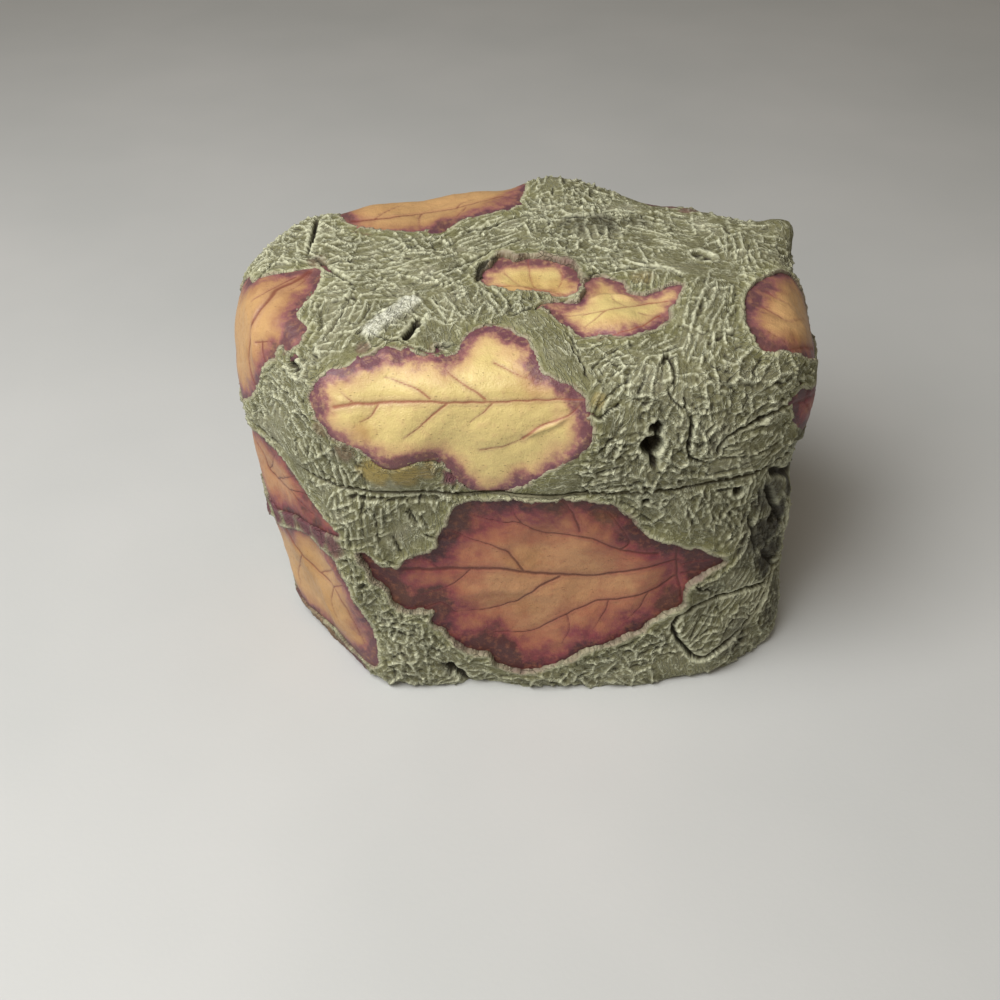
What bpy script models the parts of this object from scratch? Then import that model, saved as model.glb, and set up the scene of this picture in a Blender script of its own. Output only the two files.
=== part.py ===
"""Leaf-covered clay trinket box: a base, a lift-off lid, the collar that locates the lid, and inlaid clay leaves.

Metres, +Z up. The origin is under the middle of the box, on the surface it stands on. -Y is the front.
Every outer surface comes from one plan outline, scaled by the height sections below.
"""

import math

import bmesh
import bpy
from mathutils import Vector
from mathutils.bvhtree import BVHTree
from mathutils.geometry import delaunay_2d_cdt
from mathutils.interpolate import poly_3d_calc

MM = 0.001

# Driving sizes of the whole box
WIDTH = 110 * MM
DEPTH = 78 * MM
BASE_HEIGHT = 51 * MM
LID_HEIGHT = 27 * MM
SEAM_GAP = 0.3 * MM

# Clay walls
WALL = 7 * MM
FLOOR_THICKNESS = 7 * MM
LID_TOP_THICKNESS = 8 * MM

# The collar sits in a rebate inside the base's mouth and stands up into the lid
COLLAR_THICKNESS = 2.2 * MM
COLLAR_SEAT_DEPTH = 10 * MM
COLLAR_RISE = 5 * MM
COLLAR_SEAT_GAP = 0.3 * MM
COLLAR_LID_CLEARANCE = 0.6 * MM
COLLAR_LID_HEADROOM = 1.5 * MM

# Leaves are set in pockets, and stand a little proud of the clay
LEAF_THICKNESS = 1.7 * MM
POCKET_DEPTH = 1.6 * MM
LEAF_GAP = 0.35 * MM
LEAF_SEAM_MARGIN = 1.0 * MM
LEAF_FLOOR_MARGIN = 1.2 * MM
POCKET_OVERRUN = 2.5 * MM
LEAF_MESH_STEP = 5 * MM
RAY_START = 120 * MM

# Local swellings of the hand-built lid: how far each reaches and how far it moves the surface
HUMP_REACH = 20 * MM
HUMP_RISE = 3.0 * MM
HORN_REACH = 9 * MM
HORN_OUT = 6 * MM
HORN_RISE = 3.5 * MM
FRONT_DROOP = 3.5 * MM

# The kneaded skin: how far its crossing swells stand out where all meet, and how far apart they are
KNEAD_HEIGHT = 1.1 * MM
KNEAD_SPACING = 12 * MM

# Leaf lengths and widths, each as seen square on
LID_FRONT_LEAF_LENGTH = 48.5 * MM
LID_FRONT_LEAF_WIDTH = 28.5 * MM
LID_TOP_LEAF_LENGTH = 21 * MM
LID_TOP_LEAF_WIDTH = 11 * MM
LID_FOLD_LEAF_LENGTH = 24.5 * MM
LID_FOLD_LEAF_WIDTH = 12.5 * MM
LID_LEFT_LEAF_LENGTH = 33.5 * MM
LID_LEFT_LEAF_WIDTH = 28.5 * MM
LID_RIGHT_LEAF_LENGTH = 31.5 * MM
LID_RIGHT_LEAF_WIDTH = 17 * MM
LID_LOW_LEAF_LENGTH = 16.5 * MM
LID_LOW_LEAF_WIDTH = 11.5 * MM
LID_BACK_LEAF_LENGTH = 39.5 * MM
LID_BACK_LEAF_WIDTH = 26 * MM
LID_CORNER_LEAF_LENGTH = 22 * MM
LID_CORNER_LEAF_WIDTH = 17 * MM
BASE_FRONT_LEAF_LENGTH = 68 * MM
BASE_FRONT_LEAF_WIDTH = 40.5 * MM
BASE_LEFT_LEAF_LENGTH = 44 * MM
BASE_LEFT_LEAF_WIDTH = 20 * MM
BASE_LOW_LEAF_LENGTH = 47 * MM
BASE_LOW_LEAF_WIDTH = 28 * MM
BASE_RIGHT_LEAF_LENGTH = 40 * MM
BASE_RIGHT_LEAF_WIDTH = 26 * MM
BASE_BACK_LEAF_LENGTH = 60 * MM
BASE_BACK_LEAF_WIDTH = 36 * MM

# How many points go round the outline, how fine the curve between its corners is, and rows per section
POINTS_AROUND = 72
CURVE_STEPS = 24
ROWS_PER_SECTION = 2

# Plan outline at the seam, as shares of half the width and half the depth, anticlockwise from above
OUTLINE_SHARES = (
    (-0.58, -0.96),
    (-0.16, -0.99),
    (0.27, -1.0),
    (0.58, -0.95),
    (0.80, -0.82),
    (0.95, -0.62),
    (1.0, -0.35),
    (1.0, 0.0),
    (0.97, 0.36),
    (0.80, 0.62),
    (0.45, 0.88),
    (0.10, 1.0),
    (-0.35, 0.90),
    (-0.77, 0.66),
    (-0.98, 0.34),
    (-1.0, 0.0),
    (-0.97, -0.30),
    (-0.80, -0.66),
)

# Where the outline's own middle lies from the origin, as shares of half the width and half the depth
OUTLINE_CENTRE_SHARES = (-0.008, 0.02)

# Sections of the base: share of its height, share of the outline's width and depth,
# then the shift right as a share of half the width and back as a share of half the depth
BASE_SECTION_SHARES = (
    (0.0, 0.975, 1.005, 0.062, -0.035),
    (0.045, 1.0, 1.03, 0.062, -0.035),
    (0.16, 1.003, 1.025, 0.05, -0.03),
    (0.36, 1.008, 1.01, 0.03, -0.02),
    (0.60, 1.015, 1.0, 0.01, -0.01),
    (0.82, 1.02, 1.0, 0.0, 0.0),
    (1.0, 1.015, 1.0, 0.0, 0.0),
)

# Sections of the lid, in the same order
LID_SECTION_SHARES = (
    (0.0, 1.02, 1.0, 0.0, 0.0),
    (0.12, 1.035, 1.01, 0.0, 0.0),
    (0.33, 1.045, 1.01, 0.006, 0.0),
    (0.55, 1.035, 0.995, 0.008, 0.0),
    (0.74, 1.0, 0.965, 0.01, 0.0),
    (0.86, 0.955, 0.93, 0.005, 0.0),
    (0.93, 0.90, 0.87, 0.0, 0.0),
    (0.965, 0.80, 0.78, 0.0, 0.0),
    (0.985, 0.60, 0.60, 0.0, 0.0),
    (1.0, 0.33, 0.33, 0.0, 0.0),
    (1.0, 0.12, 0.12, 0.0, 0.0),
)

# Where the swellings sit, as shares of half the width, half the depth and the lid's height
HUMP_SHARES = (0.16, 0.72, 1.0)
HORN_SHARES = (0.93, 0.42, 0.86)
DROOP_START_SHARE = 0.35

# The swells as waves: which way each runs and how closely, its share of the height, and its start in radians
KNEADING_WAVES = (
    ((0.55, 0.30, 0.45), 0.24, 0.6),
    ((-0.35, 0.62, 0.20), 0.22, 3.5),
    ((0.30, -0.48, 0.60), 0.18, 2.2),
    ((-0.72, -0.20, 0.50), 0.14, 5.0),
    ((0.15, 0.75, -0.62), 0.12, 1.6),
    ((0.85, 0.42, -0.30), 0.10, 4.1),
)

# Between these shares of the lid's height the swells turn from standing out sideways to standing up
KNEAD_TURN_SHARES = (0.74, 0.965)

# Leaf outlines along the length and across the width, as shares of half of each, anticlockwise
LID_FRONT_LEAF_SHARES = (
    (-1.0, 0.18), (-0.98, -0.04), (-0.90, -0.22), (-0.80, -0.41), (-0.66, -0.56),
    (-0.47, -0.62), (-0.25, -0.62), (-0.06, -0.70), (0.05, -0.87), (0.20, -0.94),
    (0.39, -1.0), (0.54, -0.95), (0.72, -0.83), (0.91, -0.65), (0.99, -0.46), (1.0, -0.22),
    (0.95, 0.03), (0.84, 0.21), (0.65, 0.40), (0.61, 0.56), (0.55, 0.75), (0.47, 0.91),
    (0.31, 1.0), (0.17, 0.96), (0.08, 0.77), (-0.02, 0.67), (-0.22, 0.68), (-0.57, 0.64),
    (-0.75, 0.62), (-0.87, 0.55), (-0.94, 0.40),
)
LID_TOP_LEAF_SHARES = (
    (-1.0, 0.40), (-0.93, -0.34), (-0.65, -0.88), (-0.20, -0.93), (0.24, -0.85),
    (0.72, -1.0), (0.99, -0.60), (1.0, 0.15), (0.78, 0.67), (0.32, 0.90), (-0.23, 1.0),
    (-0.70, 0.95),
)
LID_FOLD_LEAF_SHARES = (
    (-1.0, 0.15), (-0.87, -0.30), (-0.67, -0.80), (-0.30, -1.0), (0.14, -0.84),
    (0.50, -0.50), (0.84, 0.0), (1.0, 0.70), (0.85, 1.0), (0.12, 0.76), (-0.26, 0.80),
    (-0.71, 0.50),
)
LID_LEFT_LEAF_SHARES = (
    (-1.0, -0.12), (-0.82, -0.60), (-0.40, -0.93), (-0.04, -1.0), (0.31, -0.75),
    (0.55, -0.33), (0.67, 0.10), (1.0, 0.50), (0.85, 0.72), (0.55, 0.71), (0.25, 0.90),
    (-0.04, 1.0), (-0.28, 1.0), (-0.36, 0.72), (-0.52, 0.44), (-0.88, 0.30),
)
LID_RIGHT_LEAF_SHARES = (
    (-1.0, 0.36), (-0.82, 0.0), (-0.51, -0.53), (-0.14, -0.94), (0.30, -1.0),
    (0.75, -0.82), (1.0, -0.23), (0.94, 0.36), (0.68, 0.72), (0.30, 0.95), (-0.08, 1.0),
    (-0.41, 0.87), (-0.78, 0.72),
)
LID_LOW_LEAF_SHARES = (
    (-1.0, 0.65), (-0.76, -0.22), (-0.27, -0.91), (0.45, -1.0), (1.0, -0.48), (1.0, 0.30),
    (0.45, 0.74), (-0.27, 0.65), (-0.76, 1.0),
)
LID_BACK_LEAF_SHARES = (
    (-0.95, 0.47), (-1.0, 0.0), (-0.80, -0.46), (-0.44, -0.81), (0.0, -1.0), (0.47, -0.88),
    (0.82, -0.53), (1.0, 0.0), (0.90, 0.55), (0.77, 0.86), (0.47, 1.0), (0.06, 0.96),
    (-0.24, 0.82), (-0.70, 0.81),
)
LID_CORNER_LEAF_SHARES = (
    (-1.0, 0.19), (-0.73, -0.57), (-0.09, -1.0), (0.64, -0.89), (1.0, -0.24), (0.91, 0.41),
    (0.45, 0.84), (-0.09, 1.0), (-0.64, 0.84),
)
BASE_FRONT_LEAF_SHARES = (
    (-1.0, 0.26), (-0.97, 0.05), (-0.93, -0.18), (-0.79, -0.32), (-0.61, -0.51),
    (-0.45, -0.73), (-0.32, -0.93), (-0.18, -1.0), (0.05, -0.92), (0.29, -0.80),
    (0.46, -0.72), (0.60, -0.59), (0.72, -0.44), (0.77, -0.27), (0.87, -0.18), (0.96, -0.07),
    (1.0, 0.12), (0.86, 0.34), (0.70, 0.43), (0.54, 0.59), (0.46, 0.76), (0.37, 0.90),
    (0.26, 0.96), (0.10, 0.99), (-0.10, 1.0), (-0.32, 0.98), (-0.51, 0.95), (-0.59, 0.84),
    (-0.62, 0.62), (-0.67, 0.42), (-0.79, 0.31), (-0.92, 0.34),
)
BASE_LEFT_LEAF_SHARES = (
    (-1.0, -0.30), (-0.55, -0.80), (-0.17, -1.0), (0.28, -0.55), (0.68, -0.30), (1.0, -0.05),
    (0.77, 0.35), (0.50, 0.70), (0.18, 0.95), (-0.14, 1.0), (-0.55, 0.70), (-0.86, 0.30),
)
BASE_LOW_LEAF_SHARES = (
    (-1.0, -0.39), (-0.74, -0.89), (-0.40, -1.0), (0.11, -0.96), (0.53, -0.88), (0.83, -0.93),
    (1.0, -0.90), (0.94, -0.25), (0.81, 0.54), (0.66, 0.96), (0.36, 1.0), (0.11, 0.86),
    (-0.28, 0.50), (-0.66, 0.18),
)
BASE_RIGHT_LEAF_SHARES = (
    (-1.0, 0.0), (-0.84, -0.36), (-0.52, -0.74), (-0.10, -0.98), (0.34, -0.90),
    (0.72, -0.56), (1.0, 0.0), (0.76, 0.50), (0.40, 0.86), (-0.04, 1.0), (-0.48, 0.80),
    (-0.84, 0.40),
)
BASE_BACK_LEAF_SHARES = (
    (-1.0, 0.05), (-0.93, -0.24), (-0.76, -0.36), (-0.66, -0.70), (-0.42, -0.80),
    (-0.18, -0.72), (0.02, -0.98), (0.34, -0.88), (0.50, -0.58), (0.74, -0.50), (0.86, -0.22),
    (1.0, 0.06), (0.82, 0.26), (0.74, 0.58), (0.48, 0.66), (0.26, 0.98), (-0.06, 0.94),
    (-0.24, 0.66), (-0.56, 0.76), (-0.74, 0.44), (-0.90, 0.32),
)


def half_width():
    return WIDTH / 2


def half_depth():
    return DEPTH / 2


def plan_place(x_share, y_share):
    """A place in plan, from shares of half the width and half the depth."""
    middle_x, middle_y = OUTLINE_CENTRE_SHARES
    return Vector(((x_share + middle_x) * half_width(), (y_share + middle_y) * half_depth()))


def between(before, start, end, after, t):
    """The smooth curve from start to end, at a share of the way."""
    return 0.5 * (
        2 * start
        + (end - before) * t
        + (2 * before - 5 * start + 4 * end - after) * t * t
        + (3 * start - 3 * end + after - before) * t * t * t
    )


def curve_through(points, steps):
    """A closed smooth curve through the points, with this many steps from each to the next."""
    count = len(points)
    found = []
    for i in range(count):
        near = [points[(i + k) % count] for k in (-1, 0, 1, 2)]
        found += [between(*near, step / steps) for step in range(steps)]
    return found


def rows_through(sections):
    """The height sections with smooth rows between them."""
    first = [2 * a - b for a, b in zip(sections[0], sections[1])]
    last = [2 * a - b for a, b in zip(sections[-1], sections[-2])]
    keys = [first, *sections, last]
    found = []
    for i in range(len(sections) - 1):
        for step in range(ROWS_PER_SECTION):
            near = zip(*keys[i : i + 4])
            found.append([between(*numbers, step / ROWS_PER_SECTION) for numbers in near])
    return found + [sections[-1]]


def evenly_spaced(points, count):
    """This many points at even steps along a closed line of points."""
    lengths = [0.0]
    for i, point in enumerate(points):
        lengths.append(lengths[-1] + (points[(i + 1) % len(points)] - point).length)
    found = []
    at = 0
    for k in range(count):
        wanted = lengths[-1] * k / count
        while lengths[at + 1] < wanted:
            at += 1
        part = (wanted - lengths[at]) / (lengths[at + 1] - lengths[at])
        found.append(points[at].lerp(points[(at + 1) % len(points)], part))
    return found


def plan_outline():
    """The outline at the seam, in metres, as evenly spaced points anticlockwise from above."""
    corners = [plan_place(x, y) for x, y in OUTLINE_SHARES]
    return evenly_spaced(curve_through(corners, CURVE_STEPS), POINTS_AROUND)


OUTLINE = plan_outline()


def outline_normals():
    """The outward direction at each point of the outline."""
    found = []
    for i in range(POINTS_AROUND):
        along = OUTLINE[(i + 1) % POINTS_AROUND] - OUTLINE[i - 1]
        found.append(Vector((along.y, -along.x)).normalized())
    return found


NORMALS = outline_normals()


def falloff(distance, reach):
    """1 at the middle of a swelling, falling smoothly to nearly 0 at its reach."""
    return math.exp(-((distance / (reach / 2)) ** 2) / 2)


def swollen(point):
    """A point of the lid's outer surface after the hand-made swellings."""
    moved = point.copy()
    places = (HUMP_SHARES, HORN_SHARES)
    hump, horn = (
        Vector((*plan_place(x, y), BASE_HEIGHT + z * LID_HEIGHT)) for x, y, z in places
    )
    rise = HUMP_RISE * falloff((point - hump).length, HUMP_REACH)
    share = falloff((point - horn).length, HORN_REACH)
    outward = Vector((horn.x, horn.y, 0)).normalized()
    moved += Vector((0, 0, rise + HORN_RISE * share)) + outward * HORN_OUT * share
    front = max(0.0, -point.y / half_depth() - DROOP_START_SHARE) / (1 - DROOP_START_SHARE)
    above = max(0.0, (point.z - BASE_HEIGHT) / LID_HEIGHT)
    moved.z -= FRONT_DROOP * min(1.0, front) ** 2 * above**2
    return moved


def kneaded(point, outward, height):
    """A point of the skin moved out or in by swells of this height, as hands leave in clay."""
    rise = sum(
        share * math.sin(math.tau * Vector(run).dot(point) / KNEAD_SPACING + start)
        for run, share, start in KNEADING_WAVES
    )
    return point + outward * height * rise


def section_ring(section, bottom, height, knead, shape=None):
    """One level of an outer surface as a ring of points."""
    share, wide, deep, right, back = section
    turn_start, turn_end = KNEAD_TURN_SHARES
    turned = min(1.0, max(0.0, (share - turn_start) / (turn_end - turn_start))) if shape else 0.0
    ring = []
    for point, normal in zip(OUTLINE, NORMALS):
        x = point.x * wide + right * half_width()
        y = point.y * deep + back * half_depth()
        place = Vector((x, y, bottom + share * height))
        outward = Vector((*(normal * (1 - turned)), turned)).normalized()
        ring.append(kneaded(shape(place) if shape else place, outward, knead))
    return ring


def base_rings(knead):
    return [section_ring(s, 0, BASE_HEIGHT, knead) for s in rows_through(BASE_SECTION_SHARES)]


def lid_rings(seat, knead):
    """The lid's outer rings. The first stands at the seam plus this gap."""
    sections = rows_through(LID_SECTION_SHARES)
    rings = [section_ring(s, BASE_HEIGHT, LID_HEIGHT, knead, swollen) for s in sections]
    for point in rings[0]:
        point.z = BASE_HEIGHT + seat
    return rings


def inset_ring(inset, z, scale=1.0, shift=0.0):
    """A level ring this far inside the outline."""
    return [
        Vector(
            (
                (p.x - n.x * inset) * scale + shift * half_width(),
                (p.y - n.y * inset) * scale,
                z,
            )
        )
        for p, n in zip(OUTLINE, NORMALS)
    ]


def new_object(name, mesh, material):
    thing = bpy.data.objects.new(name, mesh)
    bpy.context.scene.collection.objects.link(thing)
    if material:
        mesh.materials.append(material)
    mesh.shade_smooth()
    mesh.set_sharp_from_angle(angle=math.radians(35))
    return thing


def mesh_of(name, points, faces):
    """A mesh of these points and faces as triangles, which cut cleanly, all turned to point out."""
    mesh = bpy.data.meshes.new(name)
    mesh.from_pydata([tuple(p) for p in points], [], faces)
    shape = bmesh.new()
    shape.from_mesh(mesh)
    bmesh.ops.triangulate(shape, faces=shape.faces, quad_method="FIXED")
    bmesh.ops.recalc_face_normals(shape, faces=shape.faces)
    shape.to_mesh(mesh)
    shape.free()
    mesh.update()
    return mesh


def ring_body(name, rings, material, closed_loop=False):
    """A closed body through a run of rings. Its two ends meet, or each is closed at its middle."""
    count = len(rings[0])
    points = [p for ring in rings for p in ring]
    faces = []
    last = len(rings) if closed_loop else len(rings) - 1
    for r in range(last):
        lower, upper = r * count, ((r + 1) % len(rings)) * count
        for i in range(count):
            j = (i + 1) % count
            faces.append((lower + i, lower + j, upper + j, upper + i))
    if not closed_loop:
        for ring_start, ring in ((0, rings[0]), ((len(rings) - 1) * count, rings[-1])):
            middle = sum(ring, Vector((0, 0, 0))) / count
            points.append(middle)
            for i in range(count):
                faces.append((ring_start + i, ring_start + (i + 1) % count, len(points) - 1))
    return new_object(name, mesh_of(name, points, faces), material)


def skin_guide(knead):
    """The whole outside of the closed box, from the floor to the lid's top, as a mesh."""
    guide = ring_body("skin_guide", base_rings(knead) + lid_rings(0, knead)[1:], None)
    mesh = guide.data
    bpy.data.objects.remove(guide)
    return mesh


class Skin:
    """The closed box's outer surface, which leaves are laid on. They face as on the skin unkneaded."""

    def __init__(self):
        shape, plain = skin_guide(KNEAD_HEIGHT), skin_guide(0)
        self.points = [v.co.copy() for v in shape.vertices]
        self.normals = [v.normal.copy() for v in plain.vertices]
        self.faces = [tuple(f.vertices) for f in shape.polygons]
        self.tree = BVHTree.FromPolygons(self.points, self.faces)

    def below(self, point, toward):
        """The place on the skin that faces a point seen from toward, and the way it faces."""
        place, _, face, _ = self.tree.ray_cast(point + toward * RAY_START, -toward)
        if place is None:
            place, _, face, _ = self.tree.find_nearest(point)
        corners = self.faces[face]
        shares = poly_3d_calc([self.points[c] for c in corners], place)
        normal = sum((self.normals[c] * w for c, w in zip(corners, shares)), Vector((0, 0, 0)))
        return place, normal.normalized()


def inside(point, outline):
    """True if a point of the plane lies inside a closed outline."""
    found = False
    for i, start in enumerate(outline):
        end = outline[(i + 1) % len(outline)]
        if (start.y > point.y) != (end.y > point.y):
            cross = start.x + (point.y - start.y) / (end.y - start.y) * (end.x - start.x)
            found ^= point.x < cross
    return found


def distance_to(point, outline):
    """How far a point of the plane lies from a closed outline."""
    least = float("inf")
    for i, start in enumerate(outline):
        along = outline[(i + 1) % len(outline)] - start
        share = (point - start).dot(along) / along.length_squared
        least = min(least, (start + along * min(1.0, max(0.0, share)) - point).length)
    return least


class Leaf:
    """One flat leaf shape and the way it is laid onto the skin.

    facing is the azimuth and elevation in degrees that it is seen square on from, aim the place it is
    centred on as shares of half the width, half the depth and the whole height, and turn its tilt.
    """

    def __init__(self, name, shell, shares, length, width, facing, aim, turn, material):
        self.name, self.shell, self.material = name, shell, material
        azimuth, elevation = (math.radians(a) for a in facing)
        self.toward = Vector(
            (
                math.sin(azimuth) * math.cos(elevation),
                -math.cos(azimuth) * math.cos(elevation),
                math.sin(elevation),
            )
        )
        right = Vector((math.cos(azimuth), math.sin(azimuth), 0))
        up = self.toward.cross(right)
        tilt = math.radians(turn)
        self.along = right * math.cos(tilt) + up * math.sin(tilt)
        self.across = up * math.cos(tilt) - right * math.sin(tilt)
        height = BASE_HEIGHT + LID_HEIGHT
        self.centre = Vector((*plan_place(aim[0], aim[1]), aim[2] * height))
        self.outline = [Vector((x * length / 2, y * width / 2)) for x, y in shares]

    def flat_mesh(self):
        """The outline filled with triangles of about even size: points and faces in the plane."""
        xs = [p.x for p in self.outline]
        ys = [p.y for p in self.outline]
        fill = []
        for i in range(int((max(xs) - min(xs)) / LEAF_MESH_STEP) + 1):
            for j in range(int((max(ys) - min(ys)) / LEAF_MESH_STEP) + 1):
                offset = LEAF_MESH_STEP / 2 * (j % 2)
                spot = Vector(
                    (min(xs) + LEAF_MESH_STEP * i + offset, min(ys) + LEAF_MESH_STEP * j)
                )
                far = distance_to(spot, self.outline) > LEAF_MESH_STEP / 2
                if far and inside(spot, self.outline):
                    fill.append(spot)
        count = len(self.outline)
        edges = [(i, (i + 1) % count) for i in range(count)]
        made = delaunay_2d_cdt(self.outline + fill, edges, [], 1, 0)
        return made[0], made[2], count

    def grown(self, points, count, grow):
        """The flat points with each edge of the outline, the first count points, moved out by grow."""
        found = list(points)
        for i in range(count):
            before = (points[i] - points[(i - 1) % count]).normalized()
            after = (points[(i + 1) % count] - points[i]).normalized()
            along = before + after
            found[i] = points[i] + Vector((along.y, -along.x)) * grow / (1 + before.dot(after))
        return found

    def kept_clear(self, point):
        """A point kept off the seam and the floor."""
        low, high = LEAF_FLOOR_MARGIN, BASE_HEIGHT - LEAF_SEAM_MARGIN
        if self.shell == "lid":
            low, high = BASE_HEIGHT + LEAF_SEAM_MARGIN, BASE_HEIGHT + 2 * LID_HEIGHT
        return Vector((point.x, point.y, min(high, max(low, point.z))))

    def slab(self, skin, low, high, grow, clear):
        """The leaf's solid between two offsets from the skin: its points and faces."""
        flat, faces, count = self.flat_mesh()
        flat = self.grown(flat, count, grow)
        lower, upper = [], []
        for p in flat:
            spot = self.centre + self.along * p.x + self.across * p.y
            place, normal = skin.below(spot, self.toward)
            pair = [place + normal * low, place + normal * high]
            if clear:
                pair = [self.kept_clear(q) for q in pair]
            lower.append(pair[0])
            upper.append(pair[1])
        total = len(flat)
        sides = [
            (i, (i + 1) % count, total + (i + 1) % count, total + i) for i in range(count)
        ]
        caps = [tuple(reversed(f)) for f in faces] + [tuple(total + v for v in f) for f in faces]
        return lower + upper, caps + sides


def material(name, colour, roughness):
    """A clay finish: linear colour, roughness, no metal."""
    made = bpy.data.materials.new(name)
    made.use_nodes = True
    shader = made.node_tree.nodes["Principled BSDF"]
    shader.inputs["Base Color"].default_value = (*colour, 1.0)
    shader.inputs["Roughness"].default_value = roughness
    shader.inputs["Metallic"].default_value = 0.0
    made.diffuse_color = (*colour, 1.0)
    return made


def make_materials():
    return {
        "green": material("green_clay", (0.22, 0.23, 0.14), 0.7),
        "collar": material("inner_clay", (0.10, 0.10, 0.06), 0.65),
        "yellow": material("yellow_leaf_clay", (0.62, 0.42, 0.16), 0.45),
        "orange": material("orange_leaf_clay", (0.50, 0.27, 0.12), 0.45),
        "red": material("red_leaf_clay", (0.30, 0.10, 0.07), 0.45),
    }


def make_leaves(looks):
    """Every leaf, with where it is set and the clay it is made of."""
    table = (
        ("lid_front_leaf", "lid", LID_FRONT_LEAF_SHARES, LID_FRONT_LEAF_LENGTH,
         LID_FRONT_LEAF_WIDTH, (3, 36), (-0.225, -0.885, 0.86), 0, "yellow"),
        ("lid_top_leaf", "lid", LID_TOP_LEAF_SHARES, LID_TOP_LEAF_LENGTH,
         LID_TOP_LEAF_WIDTH, (-2, 50), (0.045, -0.13, 1.0), 0, "yellow"),
        ("lid_fold_leaf", "lid", LID_FOLD_LEAF_SHARES, LID_FOLD_LEAF_LENGTH,
         LID_FOLD_LEAF_WIDTH, (-5, 50), (0.32, -0.49, 0.99), 0, "yellow"),
        ("lid_left_leaf", "lid", LID_LEFT_LEAF_SHARES, LID_LEFT_LEAF_LENGTH,
         LID_LEFT_LEAF_WIDTH, (-72, 28), (-0.97, -0.30, 0.89), 0, "orange"),
        ("lid_right_leaf", "lid", LID_RIGHT_LEAF_SHARES, LID_RIGHT_LEAF_LENGTH,
         LID_RIGHT_LEAF_WIDTH, (65, 38), (0.955, -0.37, 0.945), 0, "orange"),
        ("lid_low_leaf", "lid", LID_LOW_LEAF_SHARES, LID_LOW_LEAF_LENGTH,
         LID_LOW_LEAF_WIDTH, (62, 8), (1.02, -0.56, 0.773), 0, "red"),
        ("lid_back_leaf", "lid", LID_BACK_LEAF_SHARES, LID_BACK_LEAF_LENGTH,
         LID_BACK_LEAF_WIDTH, (192, 48), (-0.33, 0.72, 0.98), 0, "orange"),
        ("lid_corner_leaf", "lid", LID_CORNER_LEAF_SHARES, LID_CORNER_LEAF_LENGTH,
         LID_CORNER_LEAF_WIDTH, (152, 45), (0.53, 0.80, 0.82), 0, "red"),
        ("base_front_leaf", "base", BASE_FRONT_LEAF_SHARES, BASE_FRONT_LEAF_LENGTH,
         BASE_FRONT_LEAF_WIDTH, (0, 20), (0.13, -1.0, 0.355), 0, "red"),
        ("base_left_leaf", "base", BASE_LEFT_LEAF_SHARES, BASE_LEFT_LEAF_LENGTH,
         BASE_LEFT_LEAF_WIDTH, (-62, 0), (-0.90, -0.50, 0.50), 0, "red"),
        ("base_low_leaf", "base", BASE_LOW_LEAF_SHARES, BASE_LOW_LEAF_LENGTH,
         BASE_LOW_LEAF_WIDTH, (-62, 0), (-0.86, -0.58, 0.225), 0, "orange"),
        ("base_right_leaf", "base", BASE_RIGHT_LEAF_SHARES, BASE_RIGHT_LEAF_LENGTH,
         BASE_RIGHT_LEAF_WIDTH, (95, 0), (1.0, 0.06, 0.33), 18, "orange"),
        ("base_back_leaf", "base", BASE_BACK_LEAF_SHARES, BASE_BACK_LEAF_LENGTH,
         BASE_BACK_LEAF_WIDTH, (180, 5), (-0.08, 1.0, 0.33), -6, "red"),
    )
    return [Leaf(*row[:8], looks[row[8]]) for row in table]


def make_leaf(leaf, skin):
    """A leaf's own solid, held off its pocket by the gap."""
    bottom = LEAF_GAP - POCKET_DEPTH
    points, faces = leaf.slab(skin, bottom, bottom + LEAF_THICKNESS, 0, True)
    return new_object(leaf.name, mesh_of(leaf.name, points, faces), leaf.material)


def make_pocket(leaf, skin):
    """The cutter for a leaf's pocket, larger than the leaf by the gap all round."""
    name = leaf.name + "_pocket"
    points, faces = leaf.slab(skin, -POCKET_DEPTH, POCKET_OVERRUN, LEAF_GAP, False)
    cutter = new_object(name, mesh_of(name, points, faces), None)
    cutter.hide_render = True
    cutter.display_type = "WIRE"
    return cutter


def cut_away(thing, cutter):
    """Cuts a pocket's shape from a shell or a leaf."""
    cut = thing.modifiers.new(cutter.name, "BOOLEAN")
    cut.operation = "DIFFERENCE"
    cut.object = cutter


def lay_leaves(shell, leaves, skin):
    """Lays leaves on a shell in turn, each in its pocket and cut back round those laid before it."""
    laid = []
    for leaf in leaves:
        pocket = make_pocket(leaf, skin)
        cut_away(shell, pocket)
        thing = make_leaf(leaf, skin)
        for earlier in laid:
            cut_away(thing, earlier)
        laid.append(pocket)


def make_base(look):
    """The lower shell: outer wall, rim, the collar's rebate, inner wall and floor."""
    _, wide, _, shift, _ = BASE_SECTION_SHARES[0]
    rebate = WALL - COLLAR_THICKNESS - COLLAR_SEAT_GAP
    ledge = BASE_HEIGHT - COLLAR_SEAT_DEPTH
    rings = base_rings(KNEAD_HEIGHT) + [
        inset_ring(rebate, BASE_HEIGHT),
        inset_ring(rebate, ledge),
        inset_ring(WALL, ledge),
        inset_ring(WALL, FLOOR_THICKNESS, wide, shift),
    ]
    return ring_body("base_shell", rings, look)


def make_collar(look):
    """The ring that stands in the base's rebate and locates the lid."""
    bottom = BASE_HEIGHT - COLLAR_SEAT_DEPTH + COLLAR_SEAT_GAP
    top = BASE_HEIGHT + COLLAR_RISE
    outer = WALL - COLLAR_THICKNESS
    rings = [
        inset_ring(outer, bottom),
        inset_ring(outer, top),
        inset_ring(WALL, top),
        inset_ring(WALL, bottom),
    ]
    return ring_body("rim_collar", rings, look, closed_loop=True)


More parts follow.
